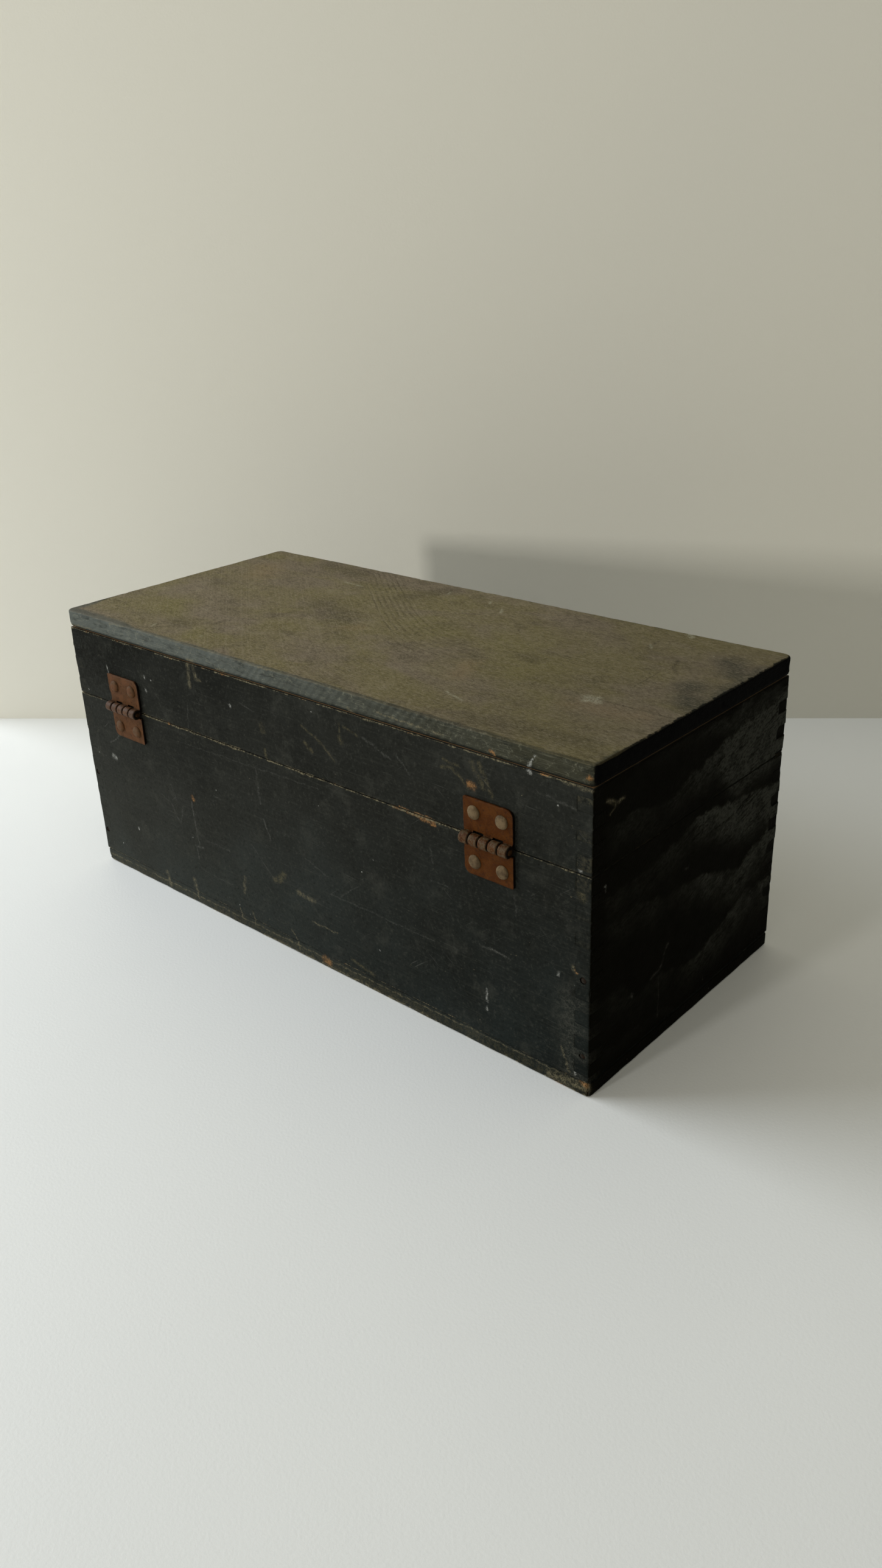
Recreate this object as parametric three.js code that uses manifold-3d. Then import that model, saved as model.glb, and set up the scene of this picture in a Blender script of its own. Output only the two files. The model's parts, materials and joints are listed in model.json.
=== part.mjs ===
// A small wooden chest for papers and keepsakes. The finger-jointed frame was glued up closed and
// then sawn apart, so the lid and the box keep one run of fingers. The bottom board is nailed on from
// below and the top board is glued on. Two butt hinges join the back, and a hook catch closes the front.
// Millimetres, +Z up. The chest stands on z = 0, centred on x = 0 and y = 0, with its hinges at the
// back, +Y. Left and right are as seen from the front, so right is +X.
import * as THREE from "three";
import { mergeVertices } from "three/addons/utils/BufferGeometryUtils.js";
import Module from "manifold-3d";

const wasm = await Module();
wasm.setup();

// The chest as a whole.
const boxLength = 340;
const boxDepth = 151;
const boxHeight = 150;
const lidHeight = 46.5;

// The boards.
const sideThickness = 8.5;
const endThickness = 7.5;
const topThickness = 9.5;
const topOverhang = 0.5;
const topCorner = 4;
const topEdge = 2.5;
const bottomThickness = 7;
const bottomCorner = 2;
const bottomEdge = 0.8;

// The finger joints, and what the saw took when it parted the lid from the box.
const fingerWidth = 6.1;
const firstFinger = 3.25;
const leastFinger = 0.8;
const sawLoss = 3;
const sawGap = 0.5;
const jointGap = 0.25;

// The small flat-headed nails in the corners and the bottom.
const bradHeadRadius = 1.4;
const bradHeadHeight = 0.6;
const bradShankRadius = 0.7;
const bradLength = 14;
const bradTip = 2;
const bradSink = 0.3;
const bottomNailInset = 30;
const longSideNails = 4;
const endNails = 2;
const cornerNailShares = [0.12, 0.5];

// The butt hinges.
const hingeLength = 25.4;
const leafReach = 17.3;
const leafThickness = 1;
const leafCorner = 3.2;
const leafSharpCorner = 0.6;
const barrelRadius = 2.75;
const knuckleCount = 5;
const knuckleGap = 0.3;
const pinRadius = 1.2;
const pinEndChamfer = 0.3;
const pinClearance = 0.3;
const leftHingeInset = 37.3;
const rightHingeInset = 31.2;

// The dome-headed nails that hold the hinges.
const domeHeadRadius = 3.2;
const domeHeadHeight = 1.2;
const domeShankRadius = 1;
const domeTip = 2;
const domeNailSpread = 7.2;
const domeNailReach = 11.2;

// The hook catch on the front: a hook that swings on a rivet, and a stud with a knob.
const catchPlateLength = 21;
const catchPlateWidth = 9;
const catchPlateThickness = 0.8;
const pivotDrop = 10;
const studRise = 8;
const rivetRadius = 1.5;
const rivetCollarRadius = 2.6;
const rivetCollarHeight = 1.3;
const rivetHeadRadius = 2.7;
const rivetHeadHeight = 1.1;
const rivetDepth = 4;
const hookThickness = 1.5;
const hookEyeRadius = 3.9;
const hookArmWidth = 4.2;
const hookHeadRadius = 6.6;
const hookMouth = 5.6;
const hookTabRadius = 2.1;
const hookPlay = 0.3;
const studRadius = 1.9;
const studKnobRadius = 3;
const studKnobHeight = 2;
const tackHeadRadius = 1.6;
const tackHeadHeight = 0.7;
const tackShankRadius = 0.6;
const tackTip = 1.5;
const tackInset = 3.4;

// Fits shared by all the pieces.
const seatGap = 0.25;
const headGap = 0.1;
const holeClearance = 0.3;
const tipCover = 1.2;
const overrun = 1;

// How finely round shapes are divided.
const nailSides = 8;
const domeSides = 12;
const domeSteps = 3;
const barrelSides = 16;
const cornerSides = 3;

// Levels and faces that follow from these sizes.
const cutLevel = boxHeight - lidHeight;
const backFace = boxDepth / 2;
const frontFace = -boxDepth / 2;
const hingeAxisY = backFace + seatGap + barrelRadius;
const hingeAxis = new THREE.Vector3(0, hingeAxisY, cutLevel);
const hookPivot = new THREE.Vector3(0, frontFace, cutLevel - pivotDrop);
const studPlace = new THREE.Vector3(0, frontFace, cutLevel + studRise);

// A nail stands with its head towards +Y, and is turned about X to face one of these ways.
const towardsBack = 0;
const towardsFront = Math.PI;
const downwards = -Math.PI / 2;

const finishes = {
  paintedWood: { color: 0x2b2c29, roughness: 0.55, metalness: 0 },
  wornTop: { color: 0x625a40, roughness: 0.6, metalness: 0 },
  rustySteel: { color: 0x5e3a22, roughness: 0.65, metalness: 0.6 },
  greySteel: { color: 0x6b6152, roughness: 0.5, metalness: 0.8 },
};

const chest = new THREE.Group();
const box = new THREE.Group();
const lid = new THREE.Group();
const hook = new THREE.Group();
lid.position.copy(hingeAxis);
hook.position.copy(hookPivot);
chest.add(box, lid, hook);
chest.updateMatrixWorld(true);

// A closed geometry as a solid that can be joined and cut.
function solidOf(geometry) {
  const bare = geometry.clone();
  bare.deleteAttribute("normal");
  bare.deleteAttribute("uv");
  const merged = mergeVertices(bare);
  return new wasm.Manifold(
    new wasm.Mesh({
      numProp: 3,
      vertProperties: merged.attributes.position.array,
      triVerts: Uint32Array.from(merged.index.array),
    }),
  );
}

// A solid as a geometry again.
function geometryOf(solid) {
  const { vertProperties, triVerts } = solid.getMesh();
  const geometry = new THREE.BufferGeometry();
  geometry.setAttribute("position", new THREE.BufferAttribute(vertProperties, 3));
  geometry.setIndex(new THREE.BufferAttribute(triVerts, 1));
  geometry.computeVertexNormals();
  return geometry;
}

// Several geometries as one solid.
function joined(geometries) {
  return geometries.map(solidOf).reduce((all, next) => all.add(next));
}

// An outline drawn in x and z, made a plate that reaches from y = 0 towards -Y.
function plateAlongY(shape, thickness, curveSegments = cornerSides) {
  const settings = { depth: thickness, bevelEnabled: false, curveSegments };
  return new THREE.ExtrudeGeometry(shape, settings).rotateX(Math.PI / 2);
}

// An outline drawn in y and z, made a bar that reaches from x = 0 towards +X.
function barAlongX(shape, length, curveSegments = cornerSides) {
  return plateAlongY(shape, length, curveSegments).rotateZ(Math.PI / 2);
}

// A rectangle centred on the origin, with round corners.
function roundedRectangle(length, width, corner) {
  const x = length / 2 - corner;
  const y = width / 2 - corner;
  const shape = new THREE.Shape();
  shape.absarc(x, y, corner, 0, Math.PI / 2);
  shape.absarc(-x, y, corner, Math.PI / 2, Math.PI);
  shape.absarc(-x, -y, corner, Math.PI, Math.PI * 1.5);
  shape.absarc(x, -y, corner, Math.PI * 1.5, Math.PI * 2);
  shape.closePath();
  return shape;
}

// A nail's measures. Its origin is the underside of its head, and a sunk head lies in its own recess.
const brad = {
  headRadius: bradHeadRadius,
  headHeight: bradHeadHeight,
  shankRadius: bradShankRadius,
  length: bradLength,
  tip: bradTip,
  recess: bradHeadHeight + bradSink,
  sides: nailSides,
};
const domeNail = {
  headRadius: domeHeadRadius,
  headHeight: domeHeadHeight,
  shankRadius: domeShankRadius,
  length: headGap + leafThickness + seatGap + sideThickness - tipCover,
  tip: domeTip,
  recess: 0,
  sides: domeSides,
};
const tack = {
  headRadius: tackHeadRadius,
  headHeight: tackHeadHeight,
  shankRadius: tackShankRadius,
  length: headGap + catchPlateThickness + seatGap + sideThickness - tipCover,
  tip: tackTip,
  recess: 0,
  sides: nailSides,
};

// The points of a head's edge, from its rim to its crown: a disc if it is sunk, otherwise a dome.
function headProfile(kind) {
  if (kind.recess > 0) {
    return [
      new THREE.Vector2(kind.headRadius, 0),
      new THREE.Vector2(kind.headRadius, kind.headHeight),
      new THREE.Vector2(0, kind.headHeight),
    ];
  }
  const points = [];
  for (let step = 0; step < domeSteps; step++) {
    const angle = ((Math.PI / 2) * step) / domeSteps;
    const radius = kind.headRadius * Math.cos(angle);
    points.push(new THREE.Vector2(radius, kind.headHeight * Math.sin(angle)));
  }
  points.push(new THREE.Vector2(0, kind.headHeight));
  return points;
}

// A nail, turned on its axis from its tip to its crown.
function nailGeometry(kind) {
  const profile = [
    new THREE.Vector2(0, -kind.length),
    new THREE.Vector2(kind.shankRadius, kind.tip - kind.length),
    new THREE.Vector2(kind.shankRadius, 0),
    ...headProfile(kind),
  ];
  return new THREE.LatheGeometry(profile, kind.sides);
}

// The hole of a nail, with the recess of its head if it is sunk.
function nailHole(kind) {
  const shank = kind.shankRadius + holeClearance;
  const bottom = -kind.length - holeClearance;
  const profile = [new THREE.Vector2(0, bottom), new THREE.Vector2(shank, bottom)];
  if (kind.recess > 0) {
    const wide = kind.headRadius + holeClearance;
    profile.push(new THREE.Vector2(shank, -holeClearance));
    profile.push(new THREE.Vector2(wide, -holeClearance));
    profile.push(new THREE.Vector2(wide, kind.recess + overrun));
    profile.push(new THREE.Vector2(0, kind.recess + overrun));
  } else {
    profile.push(new THREE.Vector2(shank, overrun));
    profile.push(new THREE.Vector2(0, overrun));
  }
  return new THREE.LatheGeometry(profile, kind.sides);
}

// Every nail of the chest: its kind, the underside of its head, the way it faces, what it is driven
// through, and the part of the chest it moves with.
const nails = [];

function addNail(name, kind, place, turn, through, home) {
  nails.push({ name, kind, place, turn, through, home });
}

// Cuts a geometry that stands at a place with the holes of the nails driven through the named piece.
function drilled(name, geometry, place) {
  let solid = solidOf(geometry.translate(place.x, place.y, place.z));
  for (const nail of nails.filter(({ through }) => through.includes(name))) {
    const tool = nailHole(nail.kind).rotateX(nail.turn);
    solid = solid.subtract(solidOf(tool.translate(nail.place.x, nail.place.y, nail.place.z)));
  }
  return geometryOf(solid).translate(-place.x, -place.y, -place.z);
}

// Adds a piece to the box, the lid or the hook, at its place in the chest.
function addPiece(name, geometry, place, finish, home) {
  const mesh = new THREE.Mesh(geometry, new THREE.MeshStandardMaterial(finishes[finish]));
  mesh.name = name;
  mesh.position.copy(place);
  mesh.updateMatrixWorld(true);
  home.attach(mesh);
  return mesh;
}

// The two rings of the frame, box and lid. The lid's run of fingers goes on from where the box's
// stopped, less the wood that the saw took.
const frameLow = bottomThickness + jointGap;
const boxRing = { low: frameLow, high: cutLevel - sawGap / 2, start: 0, home: box };
const lidRing = {
  low: cutLevel + sawGap / 2,
  high: boxHeight - topThickness - jointGap,
  start: boxRing.high - boxRing.low + sawLoss,
  home: lid,
};

// Where the end boards' fingers stand in a ring, as spans of height above its lower edge.
function endFingers(ring) {
  const height = ring.high - ring.low;
  const spans = [];
  for (let at = firstFinger - ring.start; at < height; at += 2 * fingerWidth) {
    const low = at < leastFinger ? 0 : at;
    const high = height - at - fingerWidth < leastFinger ? height : at + fingerWidth;
    if (high - low > leastFinger) {
      spans.push([low, high]);
    }
  }
  return spans;
}

// Where the front and back boards' fingers stand: between those of the ends, with the joint's gap.
function sideFingers(ring) {
  const spans = [];
  let from = 0;
  for (const [low, high] of endFingers(ring)) {
    if (low - jointGap > from) {
      spans.push([from, low - jointGap]);
    }
    from = high + jointGap;
  }
  if (from < ring.high - ring.low) {
    spans.push([from, ring.high - ring.low]);
  }
  return spans;
}

// The outline of a board with fingers at both ends: as wide as its reach at each finger, and as its
// root between them.
function combShape(height, fingers, reach, root) {
  const edge = [];
  let level = 0;
  for (const [low, high] of fingers) {
    if (low > level) {
      edge.push([root, level], [root, low]);
    }
    edge.push([reach, low], [reach, high]);
    level = high;
  }
  if (level < height) {
    edge.push([root, level], [root, height]);
  }
  const mirrored = edge.map(([x, z]) => [-x, z]).reverse();
  return new THREE.Shape([...edge, ...mirrored].map(([x, z]) => new THREE.Vector2(x, z)));
}

function sideBoard(ring) {
  const root = boxLength / 2 - endThickness - jointGap;
  const shape = combShape(ring.high - ring.low, sideFingers(ring), boxLength / 2, root);
  return plateAlongY(shape, sideThickness);
}

function endBoard(ring) {
  const root = boxDepth / 2 - sideThickness - jointGap;
  const shape = combShape(ring.high - ring.low, endFingers(ring), boxDepth / 2, root);
  return barAlongX(shape, endThickness);
}

// The top and bottom boards: a flat board with round corners and rounded edges.
function flatBoard(length, depth, thickness, corner, edge) {
  const settings = {
    depth: thickness - 2 * edge,
    bevelThickness: edge,
    bevelSize: edge,
    bevelOffset: -edge,
    bevelSegments: 3,
    curveSegments: cornerSides,
  };
  const shape = roundedRectangle(length, depth, corner);
  return new THREE.ExtrudeGeometry(shape, settings).translate(0, 0, edge);
}

// The bottom's nails, sunk from below into the four walls.
function addBottomNails() {
  const level = bradHeadHeight + bradSink;
  const span = boxLength - 2 * bottomNailInset;
  const rows = [
    ["back", backFace - sideThickness / 2],
    ["front", frontFace + sideThickness / 2],
  ];
  for (const [side, y] of rows) {
    for (let count = 0; count < longSideNails; count++) {
      const x = (count / (longSideNails - 1) - 1 / 2) * span;
      const place = new THREE.Vector3(x, y, level);
      const through = ["bottom_board", `body_${side}_board`];
      addNail(`bottom_nail_${side}_${count + 1}`, brad, place, downwards, through, box);
    }
  }
  const endX = boxLength / 2 - endThickness / 2;
  const endSpan = boxDepth - 2 * bottomNailInset;
  for (const [side, x] of [["left", -endX], ["right", endX]]) {
    for (let count = 0; count < endNails; count++) {
      const y = (count / (endNails - 1) - 1 / 2) * endSpan;
      const place = new THREE.Vector3(x, y, level);
      const through = ["bottom_board", `body_${side}_end`];
      addNail(`bottom_nail_${side}_${count + 1}`, brad, place, downwards, through, box);
    }
  }
}

// The corners' nails, sunk through a finger of the front or back board into the end board behind it.
function addCornerNails() {
  const height = boxRing.high - boxRing.low;
  const middles = sideFingers(boxRing).map(([low, high]) => (low + high) / 2);
  const depth = bradHeadHeight + bradSink;
  const faces = [
    ["back", backFace - depth, towardsBack],
    ["front", frontFace + depth, towardsFront],
  ];
  for (const [face, y, turn] of faces) {
    for (const [side, way] of [["left", -1], ["right", 1]]) {
      cornerNailShares.forEach((share, count) => {
        const miss = (level) => Math.abs(level - share * height);
        const nearest = (best, next) => (miss(next) < miss(best) ? next : best);
        const z = boxRing.low + middles.reduce(nearest);
        const place = new THREE.Vector3(way * (boxLength / 2 - endThickness / 2), y, z);
        const through = [`body_${face}_board`, `body_${side}_end`];
        addNail(`corner_nail_${face}_${side}_${count + 1}`, brad, place, turn, through, box);
      });
    }
  }
}

// A hinge leaf, in a frame with its origin on the hinge's axis. It stands up from the barrel and
// lies against the wood at -Y. The sheet is rolled round the pin at every knuckle that it carries.
function leafSolid(knuckles) {
  const clear = barrelRadius + knuckleGap;
  const half = hingeLength / 2;
  const outline = new THREE.Shape();
  outline.moveTo(-half, clear);
  outline.lineTo(half, clear);
  outline.absarc(half - leafSharpCorner, leafReach - leafSharpCorner, leafSharpCorner, 0, Math.PI / 2);
  outline.absarc(leafCorner - half, leafReach - leafCorner, leafCorner, Math.PI / 2, Math.PI);
  outline.closePath();
  const sheet = plateAlongY(outline, leafThickness).translate(0, leafThickness - barrelRadius, 0);

  const ring = new THREE.Shape().absarc(0, 0, barrelRadius, 0, Math.PI * 2);
  ring.holes.push(new THREE.Path().absarc(0, 0, pinRadius + pinClearance, 0, Math.PI * 2));
  const pitch = hingeLength / knuckleCount;
  const width = pitch - knuckleGap;
  const root = clear + leafThickness;
  const pieces = [sheet];
  for (const knuckle of knuckles) {
    const start = knuckle * pitch - half + knuckleGap / 2;
    pieces.push(barAlongX(ring, width, barrelSides).translate(start, 0, 0));
    const neck = new THREE.BoxGeometry(width, leafThickness, root);
    pieces.push(neck.translate(start + width / 2, leafThickness / 2 - barrelRadius, root / 2));
  }
  return joined(pieces);
}

// The pin, along X, with its ends slightly chamfered.
function pinGeometry() {
  const half = hingeLength / 2;
  const profile = [
    new THREE.Vector2(0, -half),
    new THREE.Vector2(pinRadius - pinEndChamfer, -half),
    new THREE.Vector2(pinRadius, pinEndChamfer - half),
    new THREE.Vector2(pinRadius, half - pinEndChamfer),
    new THREE.Vector2(pinRadius - pinEndChamfer, half),
    new THREE.Vector2(0, half),
  ];
  return new THREE.LatheGeometry(profile, domeSides).rotateZ(Math.PI / 2);
}

const hinges = [
  { side: "left", x: leftHingeInset + hingeLength / 2 - boxLength / 2 },
  { side: "right", x: boxLength / 2 - rightHingeInset - hingeLength / 2 },
];

// Each leaf is held by two dome-headed nails, driven through it into the back of the box or the lid.
function addHingeNails() {
  const y = backFace + seatGap + leafThickness + headGap;
  for (const { side, x } of hinges) {
    for (const [part, way, home] of [["lid", 1, lid], ["body", -1, box]]) {
      for (const [count, offset] of [[1, -domeNailSpread], [2, domeNailSpread]]) {
        const place = new THREE.Vector3(x + offset, y, cutLevel + way * domeNailReach);
        const through = [`${side}_hinge_${part}_leaf`, `${part}_back_board`];
        addNail(`${side}_hinge_${part}_nail_${count}`, domeNail, place, towardsBack, through, home);
      }
    }
  }
}

function addHinges() {
  const lidKnuckles = [];
  const bodyKnuckles = [];
  for (let knuckle = 0; knuckle < knuckleCount; knuckle++) {
    (knuckle % 2 === 0 ? lidKnuckles : bodyKnuckles).push(knuckle);
  }
  for (const { side, x } of hinges) {
    const place = new THREE.Vector3(x, hingeAxisY, cutLevel);
    const lidLeaf = geometryOf(leafSolid(lidKnuckles));
    const bodyLeaf = geometryOf(leafSolid(bodyKnuckles)).rotateY(Math.PI);
    for (const [name, leaf, home] of [["lid", lidLeaf, lid], ["body", bodyLeaf, box]]) {
      const full = `${side}_hinge_${name}_leaf`;
      addPiece(full, drilled(full, leaf, place), place, "rustySteel", home);
    }
    addPiece(`${side}_hinge_pin`, pinGeometry(), place, "greySteel", box);
  }
}

// The catch's two plates are alike, each with a tack near either end.
const catchPlateY = frontFace - seatGap;

function addCatchTacks() {
  const y = catchPlateY - catchPlateThickness - headGap;
  const offset = catchPlateLength / 2 - tackInset;
  const plates = [
    ["hook_plate", "body_front_board", hookPivot, box],
    ["keeper_plate", "lid_front_board", studPlace, lid],
  ];
  for (const [plate, board, centre, home] of plates) {
    for (const [count, x] of [[1, -offset], [2, offset]]) {
      const place = new THREE.Vector3(centre.x + x, y, centre.z);
      addNail(`${plate}_tack_${count}`, tack, place, towardsFront, [plate, board], home);
    }
  }
}

// A catch plate, with the hole that its rivet or stud passes through.
function catchPlate(name, centre, radius) {
  const shape = roundedRectangle(catchPlateLength, catchPlateWidth, catchPlateWidth / 3);
  shape.holes.push(new THREE.Path().absarc(0, 0, radius + holeClearance, 0, Math.PI * 2));
  const place = new THREE.Vector3(centre.x, catchPlateY, centre.z);
  return [drilled(name, plateAlongY(shape, catchPlateThickness), place), place];
}

// The rivet and the stud go into the wood behind their plates. Heights are above the wood's face.
const hookInner = seatGap + catchPlateThickness + headGap + rivetCollarHeight + hookPlay;
const hookOuter = hookInner + hookThickness;

function rivetGeometry() {
  const collarLow = seatGap + catchPlateThickness + headGap;
  const collarHigh = collarLow + rivetCollarHeight;
  const headLow = hookOuter + hookPlay;
  const crownAngle = Math.PI / 4;
  const crownRadius = rivetHeadRadius * Math.cos(crownAngle);
  const crownLevel = headLow + rivetHeadHeight * Math.sin(crownAngle);
  const profile = [
    new THREE.Vector2(0, -rivetDepth),
    new THREE.Vector2(rivetRadius, -rivetDepth),
    new THREE.Vector2(rivetRadius, collarLow),
    new THREE.Vector2(rivetCollarRadius, collarLow),
    new THREE.Vector2(rivetCollarRadius, collarHigh),
    new THREE.Vector2(rivetRadius, collarHigh),
    new THREE.Vector2(rivetRadius, headLow),
    new THREE.Vector2(rivetHeadRadius, headLow),
    new THREE.Vector2(crownRadius, crownLevel),
    new THREE.Vector2(0, headLow + rivetHeadHeight),
  ];
  return new THREE.LatheGeometry(profile, domeSides).rotateX(towardsFront);
}

function studGeometry() {
  const knobLow = hookOuter + hookPlay;
  const flangeLow = seatGap + catchPlateThickness + headGap;
  const flangeHigh = flangeLow + hookPlay;
  const profile = [
    new THREE.Vector2(0, -rivetDepth),
    new THREE.Vector2(studRadius, -rivetDepth),
    new THREE.Vector2(studRadius, flangeLow),
    new THREE.Vector2(rivetCollarRadius, flangeLow),
    new THREE.Vector2(rivetCollarRadius, flangeHigh),
    new THREE.Vector2(studRadius, flangeHigh),
    new THREE.Vector2(studRadius, knobLow),
    new THREE.Vector2(studKnobRadius, knobLow + studKnobHeight / 3),
    new THREE.Vector2(studKnobRadius, knobLow + studKnobHeight / 2),
    new THREE.Vector2(studRadius, knobLow + studKnobHeight),
    new THREE.Vector2(0, knobLow + studKnobHeight),
  ];
  return new THREE.LatheGeometry(profile, domeSides).rotateX(towardsFront);
}

// The hook hangs from its eye. Its mouth follows the stud's path round the pivot and opens towards
// +X, the way it swings up, so that it takes the stud when it stands upright.
function hookGeometry() {
  const reach = pivotDrop + studRise;
  const disc = (radius, z) => {
    const circle = new THREE.Shape().absarc(0, z, radius, 0, Math.PI * 2);
    return plateAlongY(circle, hookThickness, barrelSides);
  };
  const arm = new THREE.BoxGeometry(hookArmWidth, hookThickness, reach);
  arm.translate(0, -hookThickness / 2, -reach / 2);
  const tabLevel = -reach - hookHeadRadius - hookTabRadius / 2;
  const eye = disc(hookEyeRadius, 0);
  const head = disc(hookHeadRadius, -reach);
  const tab = disc(hookTabRadius, tabLevel);
  const blank = joined([eye, arm, head, tab]);

  const inner = reach - hookMouth / 2;
  const outer = reach + hookMouth / 2;
  const mouthAngle = Math.PI / 4;
  const band = new THREE.Shape();
  band.absarc(0, 0, outer, -Math.PI / 2, mouthAngle - Math.PI / 2);
  band.absarc(0, 0, inner, mouthAngle - Math.PI / 2, -Math.PI / 2, true);
  band.closePath();
  const end = new THREE.Shape().absarc(0, -reach, hookMouth / 2, 0, Math.PI * 2);
  const bore = new THREE.Shape().absarc(0, 0, rivetRadius + holeClearance, 0, Math.PI * 2);
  const depth = hookThickness + 2 * overrun;
  const cut = (shape) => plateAlongY(shape, depth, barrelSides).translate(0, overrun, 0);
  const tools = [cut(band), cut(end), cut(bore)].map(solidOf);
  return geometryOf(tools.reduce((solid, tool) => solid.subtract(tool), blank));
}

// Drills the wood behind a plate for its rivet or stud.
function sinkStem(geometry, place, centre, radius) {
  const depth = rivetDepth + holeClearance + overrun;
  const tool = new THREE.CylinderGeometry(radius + holeClearance, radius + holeClearance, depth, domeSides);
  tool.translate(centre.x, centre.y + depth / 2 - overrun, centre.z);
  const board = solidOf(geometry.translate(place.x, place.y, place.z)).subtract(solidOf(tool));
  return geometryOf(board).translate(-place.x, -place.y, -place.z);
}

function addFrame(ring, prefix, stem, radius) {
  const backPlace = new THREE.Vector3(0, backFace, ring.low);
  const frontPlace = new THREE.Vector3(0, frontFace + sideThickness, ring.low);
  const leftPlace = new THREE.Vector3(-boxLength / 2, 0, ring.low);
  const rightPlace = new THREE.Vector3(boxLength / 2 - endThickness, 0, ring.low);

  const front = sinkStem(sideBoard(ring), frontPlace, stem, radius);
  const boards = [
    [`${prefix}_back_board`, sideBoard(ring), backPlace],
    [`${prefix}_front_board`, front, frontPlace],
    [`${prefix}_left_end`, endBoard(ring), leftPlace],
    [`${prefix}_right_end`, endBoard(ring), rightPlace],
  ];
  for (const [name, geometry, place] of boards) {
    addPiece(name, drilled(name, geometry, place), place, "paintedWood", ring.home);
  }
}

function addFlatBoards() {
  const bottomPlace = new THREE.Vector3(0, 0, 0);
  const bottom = flatBoard(boxLength, boxDepth, bottomThickness, bottomCorner, bottomEdge);
  addPiece("bottom_board", drilled("bottom_board", bottom, bottomPlace), bottomPlace, "paintedWood", box);

  const length = boxLength + 2 * topOverhang;
  const depth = boxDepth + 2 * topOverhang;
  const top = flatBoard(length, depth, topThickness, topCorner, topEdge);
  addPiece("top_board", top, new THREE.Vector3(0, 0, boxHeight - topThickness), "wornTop", lid);
}

function addCatch() {
  const [hookPlate, hookPlatePlace] = catchPlate("hook_plate", hookPivot, rivetRadius);
  addPiece("hook_plate", hookPlate, hookPlatePlace, "rustySteel", box);
  const [keeperPlate, keeperPlatePlace] = catchPlate("keeper_plate", studPlace, studRadius);
  addPiece("keeper_plate", keeperPlate, keeperPlatePlace, "rustySteel", lid);
  addPiece("hook_rivet", rivetGeometry(), hookPivot, "greySteel", box);
  addPiece("keeper_stud", studGeometry(), studPlace, "greySteel", lid);
  const hookPlace = new THREE.Vector3(hookPivot.x, frontFace - hookInner, hookPivot.z);
  addPiece("catch_hook", hookGeometry(), hookPlace, "rustySteel", hook);
}

function addNails() {
  for (const { name, kind, place, turn, home } of nails) {
    addPiece(name, nailGeometry(kind).rotateX(turn), place, "greySteel", home);
  }
}

addBottomNails();
addCornerNails();
addHingeNails();
addCatchTacks();
addFrame(boxRing, "body", hookPivot, rivetRadius);
addFrame(lidRing, "lid", studPlace, studRadius);
addFlatBoards();
addHinges();
addCatch();
addNails();

export default chest;
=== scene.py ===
import json
import math

import bmesh
import bpy
from mathutils import Matrix, Vector, noise

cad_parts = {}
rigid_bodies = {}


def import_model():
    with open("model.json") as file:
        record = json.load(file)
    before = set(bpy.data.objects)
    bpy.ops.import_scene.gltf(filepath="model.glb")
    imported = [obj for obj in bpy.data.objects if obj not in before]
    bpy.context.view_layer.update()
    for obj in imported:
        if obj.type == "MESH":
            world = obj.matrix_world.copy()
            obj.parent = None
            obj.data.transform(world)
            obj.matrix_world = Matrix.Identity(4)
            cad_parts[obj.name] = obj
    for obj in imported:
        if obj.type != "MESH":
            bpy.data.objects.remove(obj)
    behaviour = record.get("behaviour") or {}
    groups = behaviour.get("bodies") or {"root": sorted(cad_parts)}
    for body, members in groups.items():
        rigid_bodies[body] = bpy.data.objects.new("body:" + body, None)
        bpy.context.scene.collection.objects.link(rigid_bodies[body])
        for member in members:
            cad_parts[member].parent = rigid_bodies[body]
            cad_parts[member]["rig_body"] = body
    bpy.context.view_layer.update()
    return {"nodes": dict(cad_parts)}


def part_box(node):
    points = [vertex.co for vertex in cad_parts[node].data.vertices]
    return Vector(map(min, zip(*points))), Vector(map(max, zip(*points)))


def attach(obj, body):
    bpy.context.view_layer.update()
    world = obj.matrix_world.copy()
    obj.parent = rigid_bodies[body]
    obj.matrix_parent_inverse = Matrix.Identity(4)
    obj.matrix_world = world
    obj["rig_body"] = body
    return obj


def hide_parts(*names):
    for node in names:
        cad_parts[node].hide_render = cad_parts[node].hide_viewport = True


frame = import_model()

mm = 0.001


# The box's four walls: two long side boards and two end boards of planed softwood, finger-jointed and glued.
# They are painted black outside and left bare inside. The paint is rubbed through along the arrises and
# scratched. Its haze is painted lighter towards the end at +x as a painted sheen, and is lighter towards the
# bottom; the paint is bluer towards the other end and the bottom. The end faces are painted darker than the
# long faces, as painted shade. On the end boards the hard bands of the grain stand up under the paint, and
# are painted lighter, partly as dust and partly as a painted sheen.
box_half_length = 170.0
box_half_depth = 75.5
box_low = 7.25
box_high = 103.25
lid_low = 103.75
lid_high = 140.25
outer_skin = 1.6
weld = 0.001 * mm
flat_within = math.radians(1)
board_cells = (5.4, 5.0, 5.4)
board_halvings = 2
arris_strips = (0.5, 1.6)
strip_clearance = 1.3
smooth_below = math.radians(50)


def blank(node):
    """A copy of the part's own solid as one closed shell, with its flat faces in one piece."""
    bm = bmesh.new()
    bm.from_mesh(frame["nodes"][node].data)
    bmesh.ops.remove_doubles(bm, verts=bm.verts, dist=weld)
    both = {"verts": bm.verts, "edges": bm.edges}
    bmesh.ops.dissolve_limit(bm, angle_limit=flat_within, use_dissolve_boundaries=False, **both)
    return bm


def cut_places(low, high, cell, strips):
    """Where a board is cut across one axis, in mm: evenly, and more closely beside its two faces."""
    count = max(1, round((high - low) / cell))
    even = [low + (high - low) * step / count for step in range(1, count)]
    near = [low + strip for strip in strips] + [high - strip for strip in strips]
    clear = max(strips, default=0) * strip_clearance
    even = [place for place in even if low + clear < place < high - clear]
    return [place for place in even + near if low < place < high]


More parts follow.
